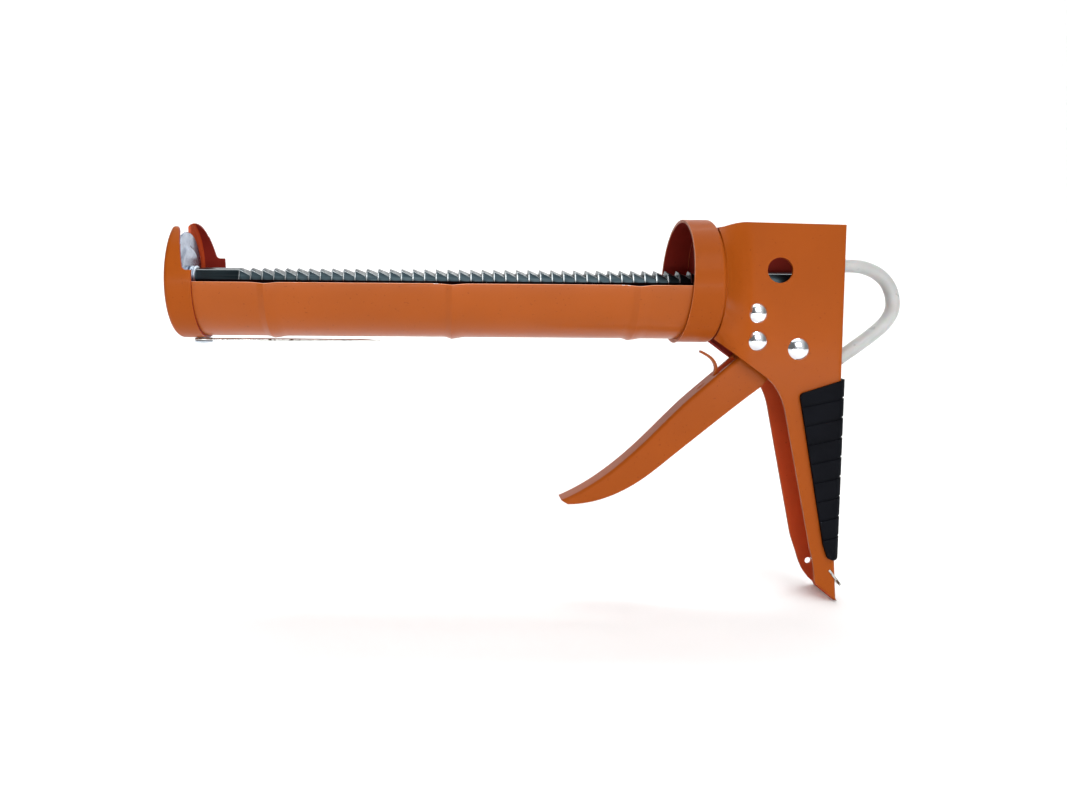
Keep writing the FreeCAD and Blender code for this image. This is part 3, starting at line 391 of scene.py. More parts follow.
def bake_modifiers(piece):
    """Replace a piece's mesh by the result of its modifiers."""
    bpy.context.view_layer.update()
    graph = bpy.context.evaluated_depsgraph_get()
    done = bpy.data.meshes.new_from_object(piece.evaluated_get(graph))
    piece.modifiers.clear()
    piece.data = done


SAME_SPOT = 1e-6
FLAT_ENOUGH = math.radians(0.4)


def softened(node, name, width, edge_highlight_slot=None, inside=None, cutters=()):
    """A copy of a CAD node with rounded edges; inside(centre, normal) picks inner faces for painted shade and
    painted light.
    """
    paint = PAINT_OF.get(node, SLOT_OF[node])
    build = bmesh.new()
    build.from_mesh(frame["nodes"][node].data)
    bmesh.ops.remove_doubles(build, verts=build.verts, dist=SAME_SPOT)
    bmesh.ops.dissolve_limit(build, angle_limit=FLAT_ENOUGH, verts=build.verts, edges=build.edges)
    mesh = bpy.data.meshes.new(name)
    build.to_mesh(mesh)
    build.free()
    piece = new_object(name, mesh)
    if cutters:
        cut_away(piece, cutters)
    soften(piece, paint, width, edge_highlight_slot, inside)
    keep(piece, node)


EDGE_SEGMENTS = 2
EDGE_ANGLE = math.radians(32)
EDGE_INDEX = 1
# The painted shade and the painted light for inner faces.
INNER_SHADING_PAINTS = ("orange_inside_shade", "orange_channel_lit")


def soften(piece, slot, width, edge_highlight_slot=None, inside=None):
    """Round a piece's edges, width in millimetres, and paint its faces; the faces of the rounded edges get the
    second paint, a painted highlight where one is given.
    """
    mesh = piece.data
    mesh.materials.clear()
    mesh.polygons.foreach_set("material_index", [0] * len(mesh.polygons))
    mesh.materials.append(materials[slot])
    mesh.materials.append(materials[edge_highlight_slot or slot])
    bevel = piece.modifiers.new("edges", "BEVEL")
    bevel.width = width * MM
    bevel.segments = EDGE_SEGMENTS
    bevel.limit_method = "ANGLE"
    bevel.angle_limit = EDGE_ANGLE
    bevel.material = EDGE_INDEX
    bake_modifiers(piece)
    mesh = piece.data
    mesh.polygons.foreach_set("use_smooth", [True] * len(mesh.polygons))
    even_normals(piece)
    if inside:
        paint_inner_shading(piece.data, inside)


def paint_inner_shading(mesh, inside):
    """Give the faces for which inside(centre, normal) names a paint that paint, which is painted shade or painted
    light; edges keep their own.
    """
    first = len(mesh.materials)
    for paint in INNER_SHADING_PAINTS:
        mesh.materials.append(materials[paint])
    for polygon in mesh.polygons:
        paint = polygon.material_index == 0 and inside(polygon.center, polygon.normal)
        if paint:
            polygon.material_index = first + INNER_SHADING_PAINTS.index(paint)


CHIP_SCALE = 900


def chip_paint(piece, worn):
    """Bare metal in small patches along the edges where worn(centre) holds."""
    mesh = piece.data
    mesh.materials.append(materials["bare_chip"])
    chip = len(mesh.materials) - 1
    for polygon in mesh.polygons:
        on_edge = polygon.material_index == EDGE_INDEX and worn(polygon.center)
        if on_edge and noise.noise(polygon.center * CHIP_SCALE) > 0.0:
            polygon.material_index = chip


def even_normals(piece):
    """Let large faces set the normals, so flat sheet stays flat up to its rounded edges."""
    weighted = piece.modifiers.new("normals", "WEIGHTED_NORMAL")
    weighted.weight = 90
    bake_modifiers(piece)


def outward(mesh):
    """Turn a closed mesh's faces so that they look out."""
    build = bmesh.new()
    build.from_mesh(mesh)
    bmesh.ops.recalc_face_normals(build, faces=build.faces)
    build.to_mesh(mesh)
    build.free()


def strip_grid(rows, closed_rows=False, closed_columns=False, offset=0):
    """Quads over a grid of points given as rows of equal length."""
    count = len(rows[0])
    faces = []
    for row in range(len(rows) - (0 if closed_rows else 1)):
        after = (row + 1) % len(rows)
        for column in range(count - (0 if closed_columns else 1)):
            side = (column + 1) % count
            faces.append(tuple(offset + at for at in (
                row * count + column, row * count + side, after * count + side, after * count + column)))
    return faces


def smooth_path(corners, steps):
    """Points along a Catmull-Rom curve through the corners."""
    out = []
    for span in range(len(corners) - 1):
        a = corners[max(0, span - 1)]
        b = corners[span]
        c = corners[span + 1]
        d = corners[min(len(corners) - 1, span + 2)]
        for step in range(steps):
            t = step / steps
            out.append(0.5 * ((2 * b) + (c - a) * t + (2 * a - 5 * b + 4 * c - d) * t * t
                              + (3 * b - a - 3 * c + d) * t ** 3))
    out.append(corners[-1])
    return out


def tube(name, path, radius, sides=20, inner=0.0):
    """A tube along a path, hollow when inner is given; radius may be a function of the share along it."""
    size = radius if callable(radius) else (lambda share: radius)
    rows = []
    tangent = (path[1] - path[0]).normalized()
    across = tangent.orthogonal().normalized()
    for index, point in enumerate(path):
        ahead = path[min(index + 1, len(path) - 1)] - path[max(index - 1, 0)]
        tangent = ahead.normalized()
        across = (across - tangent * across.dot(tangent)).normalized()
        up = tangent.cross(across)
        reach = size(index / (len(path) - 1))
        rows.append([point + (across * math.cos(turn) + up * math.sin(turn)) * reach
                     for turn in (2 * math.pi * side / sides for side in range(sides))])
    if inner:
        thin = [[path[index] + (spot - path[index]) * (inner / size(index / (len(path) - 1))) for spot in row]
                for index, row in enumerate(rows)]
        rows += thin[::-1]
    points = [spot for row in rows for spot in row]
    faces = strip_grid(rows, closed_rows=bool(inner), closed_columns=True)
    if not inner:
        faces.append(tuple(range(sides))[::-1])
        faces.append(tuple(range(len(points) - sides, len(points))))
    mesh = tidy_mesh(name, points, faces)
    mesh.set_sharp_from_angle(angle=math.radians(50))
    return new_object(name, mesh)


# ---------------------------------------------------------------- barrel

CAP_ROLL = 7.5
BEADS = (0.0414, 0.1211, 0.2008)
BEAD_FRONT, BEAD_CREST, BEAD_BACK = -3.2, 0.4, 6.5
CREASE_PLACE, CREASE_WIDTH = 0.2, 0.45
CROWN_HEIGHT, CREASE_HEIGHT = 0.80, 0.14
TROUGH_RADIUS = 0.0264
TROUGH_HALF_ARC = math.radians(85.0)
TROUGH_TURNS = 72
SHEET = 0.0010
FINE_STEP, COARSE_STEP, FINE_REACH = 0.0004, 0.003, 0.009
RIM_DIP, RIM_DIP_WIDTH = 0.00045, 0.0042
WOBBLE = 0.00006


def bead_height(x):
    """How far a bead lifts the trough's sheet; each has a steep front, a crown and a long back slope."""
    lift = 0.0
    for middle in BEADS:
        away = (x - middle) / MM
        if BEAD_FRONT < away < BEAD_BACK:
            if away < BEAD_CREST:
                share = (away - BEAD_FRONT) / (BEAD_CREST - BEAD_FRONT)
            else:
                share = (BEAD_BACK - away) / (BEAD_BACK - BEAD_CREST)
            crown = share * share * (3 - 2 * share)
            crease = math.exp(-((away - CREASE_PLACE) / CREASE_WIDTH) ** 2)
            lift = max(lift, MM * (CROWN_HEIGHT * crown + CREASE_HEIGHT * crease))
    return lift


def trough_stations():
    """Places along the trough, close together at its beads."""
    low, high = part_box("cradle")
    stations = []
    x = low.x
    while x < high.x - SAME_SPOT:
        stations.append(x)
        near = min(abs(x - middle) for middle in BEADS)
        x += FINE_STEP if near < FINE_REACH else COARSE_STEP
    stations.append(high.x)
    return stations


def make_trough():
    """The half-round trough: rolled sheet with three beads, wavy rims and rounded sheet edges."""
    turns = TROUGH_TURNS
    outer, inner = [], []
    for x in trough_stations():
        dip = RIM_DIP * sum(math.exp(-((x - middle) / RIM_DIP_WIDTH) ** 2) for middle in BEADS)
        reach = TROUGH_HALF_ARC - dip / TROUGH_RADIUS
        out_row, in_row = [], []
        for step in range(turns + 1):
            angle = -reach + 2 * reach * step / turns
            side = math.sin(angle)
            wobble = WOBBLE * noise.noise(Vector((x * 40, side * 1.5, 0.3)))
            size = TROUGH_RADIUS + bead_height(x) + wobble - WOBBLE
            out_row.append(Vector((x, -side * size, -math.cos(angle) * size)))
            thin = size - SHEET
            in_row.append(Vector((x, -side * thin, -math.cos(angle) * thin)))
        outer.append(out_row)
        inner.append(in_row)
    count = turns + 1
    points = [spot for row in outer + inner for spot in row]
    shift = len(outer) * count
    faces = [face[::-1] for face in strip_grid(outer)]
    inside_faces = strip_grid(inner, offset=shift)
    first_inside = len(faces)
    faces += inside_faces
    rim = len(faces)
    rows = len(outer)
    for row in range(rows - 1):
        for column, flip in ((0, False), (turns, True)):
            a, b = row * count + column, (row + 1) * count + column
            face = (a, b, b + shift, a + shift)
            faces.append(face[::-1] if flip else face)
    for column in range(turns):
        for row, flip in ((0, True), (rows - 1, False)):
            a, b = row * count + column, row * count + column + 1
            face = (a, b, b + shift, a + shift)
            faces.append(face[::-1] if flip else face)
    mesh = tidy_mesh("trough", points, faces)
    piece = new_object("trough", mesh)
    # Outer faces take the orange, inner faces painted shade, and the sheet's edge faces with their rounding a
    # painted highlight.
    for slot in ("orange_paint", "orange_edge_highlight", "orange_inside_shade"):
        mesh.materials.append(materials[slot])
    for index, polygon in enumerate(mesh.polygons):
        # The trough's inner faces get painted shade.
        if first_inside <= index < rim:
            polygon.material_index = 2
        elif index >= rim:
            polygon.material_index = 1
    round_edges(piece, 0.18, 50)
    chip_paint(piece, beside_bead)
    keep(piece, "cradle")


WORN_FROM, WORN_TO = -0.008, -0.004


def beside_bead(spot):
    """The near rim, just in front of the second and third beads."""
    return any(WORN_FROM < spot.x - middle < WORN_TO for middle in BEADS[1:]) and spot.y < 0


def round_edges(piece, width, angle):
    """Turn a piece's faces outward and round its sharp edges."""
    outward(piece.data)
    bevel = piece.modifiers.new("edges", "BEVEL")
    bevel.width = width * MM
    bevel.segments = EDGE_SEGMENTS
    bevel.limit_method = "ANGLE"
    bevel.angle_limit = math.radians(angle)
    bevel.material = EDGE_INDEX
    bake_modifiers(piece)
    piece.data.polygons.foreach_set("use_smooth", [True] * len(piece.data.polygons))
    piece.data.set_sharp_from_angle(angle=math.radians(45))


CAP_FLOOR_REACH = 0.0018


def faces_axis(centre, normal):
    """Whether a face looks at the barrel's axis."""
    return normal.y * centre.y + normal.z * centre.z < -0.3 * MM


def cap_inside(centre, normal):
    """Inner faces of the cap, for painted shade: those that look back along the barrel or towards its axis; those
    near the front get painted light instead.
    """
    if normal.x > 0.7 or faces_axis(centre, normal):
        return "orange_channel_lit" if centre.x < CAP_FLOOR_REACH else "orange_inside_shade"
    return None


def petal_cutter():
    """Everything above the rounded tops of the cap's two petals."""
    roll = Matrix.Rotation(math.radians(CAP_ROLL), 3, "X")
    outline = [(-3.0, 20.0), (-1.6, 20.6), (-0.9, 22.4), (-0.2, 23.35), (0.7, 23.75), (1.6, 23.65),
               (2.4, 23.2), (3.1, 22.5), (3.65, 21.5), (4.05, 20.3), (4.4, 19.0), (4.7, 17.8), (4.95, 16.6),
               (9.0, 16.6), (9.0, 34.0), (-3.0, 34.0)]
    points = [roll @ flat(x, z, y) for y in (-30, 30) for x, z in outline]
    count = len(outline)
    faces = [(i, (i + 1) % count, count + (i + 1) % count, count + i) for i in range(count)]
    faces += [tuple(range(count))[::-1], tuple(range(count, 2 * count))]
    return cutter_object("petal_cutter", points, faces)


def cutter_object(name, points, faces):
    mesh = tidy_mesh(name, points, faces, smooth=False)
    outward(mesh)
    return new_object(name, mesh)


def round_cutter(name, centre, axis, radius, length, sides=48):
    """A drill for boolean cuts, centred on a point and running along an axis."""
    axis = Vector(axis).normalized()
    across = axis.orthogonal().normalized()
    up = axis.cross(across)
    points = []
    for end in (-length / 2, length / 2):
        for side in range(sides):
            turn = 2 * math.pi * side / sides
            points.append(centre + axis * end + (across * math.cos(turn) + up * math.sin(turn)) * radius)
    faces = [(i, (i + 1) % sides, sides + (i + 1) % sides, sides + i) for i in range(sides)]
    faces += [tuple(range(sides))[::-1], tuple(range(sides, 2 * sides))]
    return cutter_object(name, points, faces)


def cut_away(piece, cutters):
    for cutter in cutters:
        knife = piece.modifiers.new("cut", "BOOLEAN")
        knife.operation = "DIFFERENCE"
        knife.solver = "EXACT"
        knife.object = cutter
    bake_modifiers(piece)
    for cutter in cutters:
        bpy.data.objects.remove(cutter)


COLLAR_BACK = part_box("rear_collar")[1].x
COLLAR_WALL_REACH = 0.004
SPINE_FRONT = 0.289
INSIDE_HALF_WIDTH = 0.0105
CHANNEL_TOP = -0.036


def collar_inside(centre, normal):
    """Inner faces of the collar, which get painted shade: those that look at its axis, and its back wall from the
    front.
    """
    back_wall = normal.x < -0.8 and centre.x > COLLAR_BACK - COLLAR_WALL_REACH
    return "orange_inside_shade" if back_wall or faces_axis(centre, normal) else None


def handle_inside(centre, normal):
    """Inner faces of the folded sheet: painted shade in the head, and painted light down in the handle's channel.
    """
    looks_in = normal.y * centre.y < 0
    if abs(normal.y) <= 0.3:
        looks_in = normal.x < -0.7 and centre.x > SPINE_FRONT and abs(centre.y) < INSIDE_HALF_WIDTH
    if looks_in:
        return "orange_inside_shade" if centre.z > CHANNEL_TOP else "orange_channel_lit"
    return None


# The handle's outline, in millimetres: lines are (x, z) points that run down.
FLARE_FRONT = 237.6
FLARE_FLAT = 254.6
FLARE_BLEND = 261.0
FLARE_RADIUS = 27.35
FLARE_TOP, FLARE_LOW = 22.8, -25.8
FLARE_CURVE = 1.6
PLATE = 11.0
BEND = 1.8
HANDLE_SHEET = 0.0012
CROWN = 26.1
CROWN_START, CROWN_END = 251.5, 296.1
SHOULDER_DROP, CROWN_DROP = 3.3, 0.9
SHOULDER_CURVE = 1.7
NECK_LOW = -42.8
FRONT_LINE = [(261.0, -42.8), (263.8, -45.7), (266.0, -49.0), (267.6, -52.6), (268.8, -56.5), (280.2, -117.8)]
NEAR_TOE = [(281.2, -121.6), (281.9, -125.4), (282.3, -129.3), (282.5, -133.2), (292.3, -140.9)]
FAR_TOE = [(281.3, -121.3), (282.7, -125.3), (284.0, -129.8), (285.9, -134.0), (288.7, -137.8),
           (292.3, -140.9)]
BACK_LINE = [(296.1, 26.2), (294.2, -40.0), (291.6, -123.0), (292.3, -140.9)]
WINDOW, WINDOW_RADIUS = (266.35, 4.9), 5.65
HANG_HOLE, HANG_RADIUS = (288.5, -129.9), 1.5
ROD_WAY, ROD_WAY_RADIUS = (293.0, 0.0), 6.4


def along(line, height):
    """The x of a line of (x, z) points, which runs down, at a height."""
    for (x, z), (next_x, next_z) in zip(line, line[1:]):
        if height >= next_z:
            return x + (next_x - x) * (height - z) / (next_z - z)
    return line[-1][0]


def head_top(x):
    """The height of the head's top edge: a shoulder behind the collar, then a slight fall to the back."""
    if x < CROWN_START:
        return CROWN - SHOULDER_DROP * ((CROWN_START - x) / (CROWN_START - FLARE_FRONT)) ** SHOULDER_CURVE
    return CROWN - CROWN_DROP * (x - CROWN_START) / (CROWN_END - CROWN_START)


def head_point(x, share, side):
    """A point of the head's outer surface: share runs from the top edge to the throat's height."""
    back_share = min(1.0, (x - FLARE_FRONT) / (FLARE_BLEND - FLARE_FRONT))
    low = FLARE_LOW + (NECK_LOW - FLARE_LOW) * back_share
    z = head_top(x) + (low - head_top(x)) * share
    spread = max(0.0, (FLARE_FLAT - x) / (FLARE_FLAT - FLARE_FRONT))
    front_z = FLARE_TOP + (FLARE_LOW - FLARE_TOP) * share
    wide = math.sqrt(FLARE_RADIUS ** 2 - front_z ** 2)
    y = PLATE + (wide - PLATE) * spread ** FLARE_CURVE
    return flat(x, z, side * y)


def section(height, share=None):
    """One row of the fold: near plate, bend, spine, bend and far plate; share is given in the head only."""
    back = along(BACK_LINE, height)
    row = []
    plate_steps, bend_steps, spine_steps = 22, 5, 10
    least_width = 0.01
    in_head = share is not None
    for side, toe in ((-1, NEAR_TOE), (1, FAR_TOE)):
        front = FLARE_BLEND if in_head else along(FRONT_LINE + toe, height)
        turn_start = max(back - BEND, front + least_width)
        plate = []
        for step in range(plate_steps):
            x = front + (turn_start - front) * step / plate_steps
            plate.append(head_point(x, share, side) if in_head else flat(x, height, side * PLATE))
        for step in range(bend_steps + 1):
            turn = math.pi / 2 * step / bend_steps
            x = turn_start + (back - turn_start) * math.sin(turn)
            plate.append(flat(x, height, side * (PLATE - BEND + BEND * math.cos(turn))))
        if side < 0:
            row = plate
            for step in range(1, spine_steps):
                row.append(flat(back, height, (PLATE - BEND) * (2 * step / spine_steps - 1)))
        else:
            row += plate[::-1]
    return row


def make_handle():
    """One folded sheet, flared in a soft curve to the collar and bent round the back."""
    head_rows, grip_rows, flare_steps = 34, 66, 14
    shares = [step / head_rows for step in range(head_rows + 1)]
    top = head_top(FLARE_BLEND + 10)
    rows = [section(top + (NECK_LOW - top) * share, share) for share in shares]
    bottom = BACK_LINE[-1][1]
    for step in range(1, grip_rows + 1):
        rows.append(section(NECK_LOW + (bottom - NECK_LOW) * step / grip_rows))
    points = [spot for row in rows for spot in row]
    faces = strip_grid(rows)
    for side in (-1, 1):
        flare = []
        for share in shares:
            places = [FLARE_FRONT + (FLARE_BLEND - FLARE_FRONT) * step / flare_steps
                      for step in range(flare_steps + 1)]
            flare.append([head_point(x, share, side) for x in places])
        if side > 0:
            flare = [row[::-1] for row in flare]
        faces += strip_grid(flare, offset=len(points))
        points += [spot for row in flare for spot in row]
    piece = new_object("handle_shell", tidy_mesh("handle_shell", points, faces))
    build = bmesh.new()
    build.from_mesh(piece.data)
    bmesh.ops.remove_doubles(build, verts=build.verts, dist=SAME_SPOT)
    bmesh.ops.dissolve_degenerate(build, edges=build.edges, dist=SAME_SPOT)
    bmesh.ops.recalc_face_normals(build, faces=build.faces)
    near = min(build.faces, key=lambda face: face.calc_center_median().y)
    if near.normal.y > 0:
        bmesh.ops.reverse_faces(build, faces=build.faces)
    build.to_mesh(piece.data)
    build.free()
    skin = piece.modifiers.new("sheet", "SOLIDIFY")
    skin.thickness = HANDLE_SHEET
    skin.offset = -1
    skin.use_even_offset = True
    bake_modifiers(piece)
    lowest = cad_low.z + 0.00005
    for vertex in piece.data.vertices:
        if vertex.co.x > FLARE_BLEND * MM:
            vertex.co.z = min(vertex.co.z, head_top(vertex.co.x / MM) * MM)
        vertex.co.z = max(vertex.co.z, lowest)
    cut_away(piece, [
        round_cutter("window", flat(*WINDOW, -PLATE), (0, 1, 0), WINDOW_RADIUS * MM, 0.006, 64),
        round_cutter("hang", flat(*HANG_HOLE, PLATE), (0, 1, 0), HANG_RADIUS * MM, 0.006),
        round_cutter("rod_way", flat(*ROD_WAY), (1, 0, 0), ROD_WAY_RADIUS * MM, 0.012, 64),
        blade_slot()])
    # The handle takes the painted-shade enamel, a painted highlight on its rounded edges, and painted shade and
    # painted light on its inner faces.
    soften(piece, "shaded_paint", 0.2, "orange_edge_highlight", inside=handle_inside)
    chip_paint(piece, near_toe)
    keep(piece, "handle_frame")


NEAR_PLATE_Y, TOE_TOP, TOE_BACK = -0.0085, -0.118, 0.287


def near_toe(spot):
    """The front edge of the near plate's toe."""
    return spot.y < NEAR_PLATE_Y and spot.z < TOE_TOP and spot.x < TOE_BACK


def blade_slot():
    """The slanted slot for the spout cutter, a hair wider than the blade."""
    top, end = flat(288.8, -127.3), flat(293.8, -133.9)
    half_gap = 0.00056
    near, far = -0.0125, 0.00805
    run = (end - top).normalized()
    past = end + run * 0.003
    across = Vector((-run.z, 0, run.x)) * half_gap
    corners = [top - across, past - across, past + across, top + across]
    points = [corner + Vector((0, y, 0)) for y in (near, far) for corner in corners]
    faces = [(0, 1, 2, 3), (4, 5, 6, 7), (0, 1, 5, 4), (1, 2, 6, 5), (2, 3, 7, 6), (3, 0, 4, 7)]
    return cutter_object("blade_slot", points, faces)


WEB_HALF_WIDTH, FLANGE_REACH = 0.0047, 0.0055


def trigger_inside(centre, normal):
    """Inner faces of the trigger's channel, which get painted light: the back of its web and the insides of its
    two flanges.
    """
    looks_in = abs(centre.y) < WEB_HALF_WIDTH and normal.z < -0.2 and normal.x > 0.2
    if abs(normal.y) > 0.8:
        looks_in = normal.y * centre.y < 0 and abs(centre.y) < FLANGE_REACH
    return "orange_channel_lit" if looks_in else None


# ---------------------------------------------------------------- rod

ROD_ROLL = 13.0
ROD_START, ROD_END = 0.0059, 0.2959
ROD_HALF = 0.0040
ROD_CORNER = ROD_HALF * 2 / math.sqrt(3)
SPIGOT = 0.00297
FIRST_TOOTH, TOOTH_PITCH, TOOTH_DEPTH, TEETH = 0.0251, 0.00522, 0.0022, 40
PLAIN_STATIONS = 2
TOOTH_STATIONS = 6
CREST_COLUMNS = (3, 5)
SIDE_COLUMNS = (0, 1, 2, 6, 7, 8)


def rod_stations():
    """Places along the rod, each with the height of its top and how far its sides swell."""
    half = ROD_HALF
    stations = [(ROD_START, half, 0.0), (FIRST_TOOTH - 0.001, half, 0.0)]
    for tooth in range(TEETH):
        begin = FIRST_TOOTH + tooth * TOOTH_PITCH
        stations += [(begin + 0.0001, half, 0.00022),
                     (begin + 0.0006, half - 0.00005, 0.00026),
                     (begin + 0.0016, half - 0.00055, 0.00014),
                     (begin + 0.0030, half - 0.00118, 0.0),
                     (begin + TOOTH_PITCH - 0.00045, half - TOOTH_DEPTH + 0.00012, -0.0001),
                     (begin + TOOTH_PITCH - 0.0001, half - TOOTH_DEPTH, -0.0001)]
    last = FIRST_TOOTH + TEETH * TOOTH_PITCH
    return stations + [(last + 0.0001, half, 0.0002), (last + 0.002, half, 0.0), (ROD_END, half, 0.0)]


def rod_ring(top, swell):
    """The rod's section as (y, z) points: a hexagon with eased corners, cut down to a height of top."""
    lean = ROD_CORNER / 2 / ROD_HALF
    top_half = ROD_CORNER - top * lean + swell * 0.6
    upper = [(ROD_CORNER, 0.0),
             (ROD_CORNER + swell - 0.0006 * lean, 0.0006),
             (top_half + 0.00025, top - 0.0004),
             (top_half, top - 0.00018),
             (top_half - 0.00025, top)]
    lower = [(-ROD_CORNER + 0.0002, -0.00035),
             (-ROD_CORNER / 2 - 0.00012, -ROD_HALF + 0.0002),
             (-ROD_CORNER / 2 + 0.0002, -ROD_HALF)]
    mirrored = [[(-y, z) for y, z in half[::-1]] for half in (upper, lower)]
    return upper + mirrored[0] + lower + mirrored[1]


def make_rod():
    """The hexagonal rod, whose stamped teeth swell its sides a little at every crest."""
    low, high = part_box("ratchet_rod")
    rows = [[Vector((x, y, z)) for y, z in rod_ring(top, swell)] for x, top, swell in rod_stations()]
    points = [spot for row in rows for spot in row]
    sides = len(rows[0])
    faces = strip_grid(rows, closed_columns=True)
    faces.append(tuple(range(sides)))
    faces.append(tuple(range(len(points) - sides, len(points)))[::-1])
    mesh = tidy_mesh("toothed_rod", points, faces)
    piece = new_object("toothed_rod", mesh)
    outward(mesh)
    mesh.materials.append(materials["dark_steel"])
    mesh.materials.append(materials["rod_highlight"])
    # The crest edges, and the sides at each tooth's crest, get the lighter steel: painted highlight lines.
    for index, polygon in enumerate(mesh.polygons):
        segment, column = divmod(index, sides)
        if segment >= len(rows) - 1:
            continue
        tooth, station = divmod(segment - PLAIN_STATIONS, TOOTH_STATIONS)
        crest = 0 <= tooth < TEETH and station == 0
        if column in CREST_COLUMNS or (crest and column in SIDE_COLUMNS):
            polygon.material_index = 1
    mesh.set_sharp_from_angle(angle=math.radians(35))
    ends = []
    for number, (near, far) in enumerate(((low.x, ROD_START + 0.0004), (ROD_END - 0.0004, high.x))):
        bar = tube(f"rod_spigot_{number}", [Vector((near, 0, 0)), Vector((far, 0, 0))], SPIGOT, 32)
        bar.data.materials.append(materials["dark_steel"])
        ends.append(bar)
    join(piece, ends)
    piece.data.transform(Matrix.Rotation(math.radians(ROD_ROLL), 4, "X"))
    keep(piece, "ratchet_rod")


def join(piece, others):
    """Merge other meshes into piece."""
    build = bmesh.new()
    build.from_mesh(piece.data)
    for other in others:
        build.from_mesh(other.data)
    build.to_mesh(piece.data)
    build.free()
    for other in others:
        bpy.data.objects.remove(other)


# ---------------------------------------------------------------- hook, springs and needle

HOOK_CORNERS = [(297.9, 7.2), (303.2, 7.3), (308.6, 6.6), (314.6, 4.0), (319.2, -0.6), (321.5, -6.6),
                (321.4, -12.7), (318.2, -18.4), (312.6, -23.6), (304.9, -29.4), (297.1, -34.9)]


HOOK_ROOT = (296.3, 7.2)
WIRE_RADIUS = 0.00176
SLEEVE_RADIUS, SLEEVE_BORE = 0.00298, 0.00184
SLEEVE_LIP, LIP_SHARE = 0.00012, 0.02
SLEEVE_WAVE = 0.00004


def sleeve_size(share):
    """The sleeve's radius: a small lip at each end and a slight waviness between."""
    lips = sum(math.exp(-((share - end) / LIP_SHARE) ** 2) for end in (0, 1))
    return SLEEVE_RADIUS + SLEEVE_LIP * lips + SLEEVE_WAVE * noise.noise(Vector((share * 14, 2.2, 0)))


def make_hook():
    """The pull hook: a bent wire, and over it the milky sleeve."""
    path = smooth_path([flat(*corner) for corner in HOOK_CORNERS], 10)
    sleeve = tube("hook_tube", path, sleeve_size, 28, inner=SLEEVE_BORE)
    sleeve.data.materials.append(materials["clear_sleeve"])
    keep(sleeve, "hook_sleeve")
    wire_path = smooth_path([flat(*corner) for corner in [HOOK_ROOT] + HOOK_CORNERS], 10)
    wire = tube("hook_wire", wire_path, WIRE_RADIUS, 20)
    wire.data.materials.append(materials["bright_steel"])
    keep(wire, "pull_hook")


def make_spring(node, name, joint, start_y, turns, radius, wire, legs):
    """A close-wound torsion spring round a joint, in millimetres; legs are (heading, length) pairs."""
    steps = 28
    pitch = 1.85 * wire
    total = turns - 1
    place = frame_joint(joint)
    x, z = place[0] / MM, place[2] / MM
    (first_heading, first_length), (last_heading, last_length) = legs
    begin = math.radians(first_heading) - math.pi / 2
    finish = math.radians(last_heading) - math.pi / 2
    spread = pitch * total
    sweep = 2 * math.pi * total + ((finish - begin) % (2 * math.pi))
    corners = []
    count = int(steps * sweep / (2 * math.pi))
    for step in range(count + 1):
        turn = begin + sweep * step / count
        corners.append(flat(x + radius * math.cos(turn), z + radius * math.sin(turn),
                            start_y + spread * step / count))
    heading = math.radians(first_heading)
    last = math.radians(last_heading)
    lead = corners[0] - Vector((-math.cos(heading), 0, -math.sin(heading))) * first_length * MM
    tail = corners[-1] + Vector((math.cos(last), 0, math.sin(last))) * last_length * MM
    piece = tube(name, [lead] + corners + [tail], wire * MM, 10)
    piece.data.materials.append(materials["bright_steel"])
    keep(piece, node)


def make_springs():
    make_spring("trigger_return_spring", "return_coil", "trigger_pull", -3.3, 7, 3.6, 0.55,
                ((215, 20), (-55, 15)))
    make_spring("drive_pawl_spring", "drive_coil", "drive_pawl_swing", 2.4, 4, 2.3, 0.32,
                ((140, 7), (200, 5)))
    make_spring("hold_pawl_spring", "hold_coil", "hold_pawl_swing", 2.4, 5, 2.7, 0.32,
                ((125, 9), (250, 6)))


def frame_joint(name):
    """The place of a joint's axis, in metres."""
    joint = next(item for item in frame["joints"] if item["name"] == name)
    return joint["pos_m"]


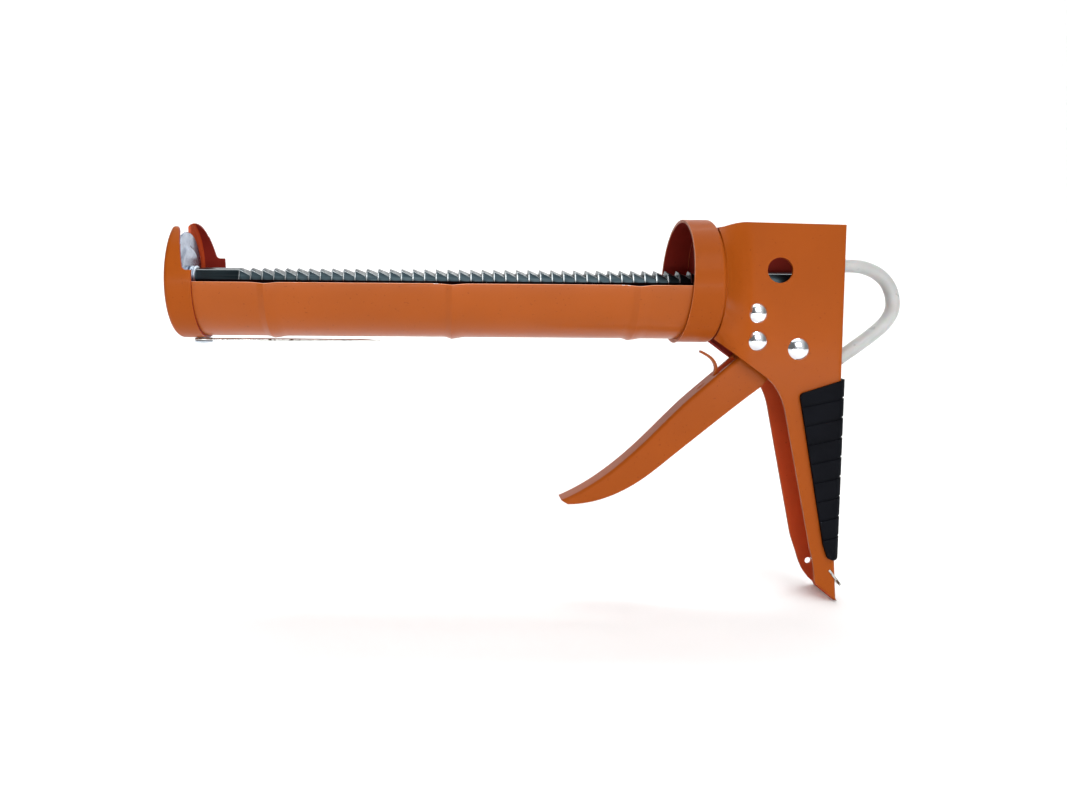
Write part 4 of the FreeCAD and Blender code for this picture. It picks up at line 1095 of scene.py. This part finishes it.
def make_needle():
    """The piercing wire: an eye bent from the wire itself, its end tucked beside the shank."""
    pivot = frame_joint("needle_swing")
    x, z = pivot[0] / MM, pivot[2] / MM
    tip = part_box("needle")[1].x / MM
    eye, neck, wire = 3.6, 2.6, 0.58
    eye_start, eye_sweep, eye_steps = math.radians(24), math.radians(318), 29
    point_share, point_size = 0.07, 0.25
    corners = []
    for step in range(eye_steps + 1):
        turn = eye_start + eye_sweep * step / eye_steps
        corners.append(flat(x + eye * math.cos(turn), z, eye * math.sin(turn)))
    corners += [flat(place, z) for place in (x + eye + neck, x + 30, x + 60, tip - 4.5, tip)]

    def size(share):
        return wire * MM * min(1.0, max(point_size, (1 - share) / point_share))

    piece = tube("piercing_wire", even_path(corners, 150), size, 12)
    piece.data.materials.append(materials["bright_steel"])
    keep(piece, "needle")


def even_path(corners, count):
    """Points at even spacing along straight runs between corners."""
    lengths = [0.0]
    for before, after in zip(corners, corners[1:]):
        lengths.append(lengths[-1] + (after - before).length)
    out = []
    run = 0
    for step in range(count + 1):
        want = lengths[-1] * step / count
        while run < len(lengths) - 2 and lengths[run + 1] < want:
            run += 1
        share = (want - lengths[run]) / (lengths[run + 1] - lengths[run])
        out.append(corners[run].lerp(corners[run + 1], share))
    return out


# ---------------------------------------------------------------- build

make_camera()
make_floor()
make_lights()
make_trough()
# The cap, collar and trigger get a painted highlight on their rounded edges, and painted shade and painted light
# on their inner faces.
softened("front_cap", "cap_shell", 0.22, "orange_edge_highlight", inside=cap_inside, cutters=[petal_cutter()])
softened("rear_collar", "collar_shell", 0.25, "orange_edge_highlight", inside=collar_inside)
make_handle()
softened("trigger", "trigger_lever_shell", 0.2, "orange_edge_highlight", inside=trigger_inside)
softened("grip_sleeve", "rubber_grip", 0.16)
softened("spout_cutter", "cutter_blade", 0.12)
softened("pusher_disc", "disc_plate", 0.12)
softened("disc_thrust_washer", "disc_washer", 0.1)
make_rod()
make_hook()
make_springs()
make_needle()

for name, node in frame["nodes"].items():
    if not node.hide_render:
        node.data.materials.clear()
        node.data.materials.append(materials[SLOT_OF[name]])
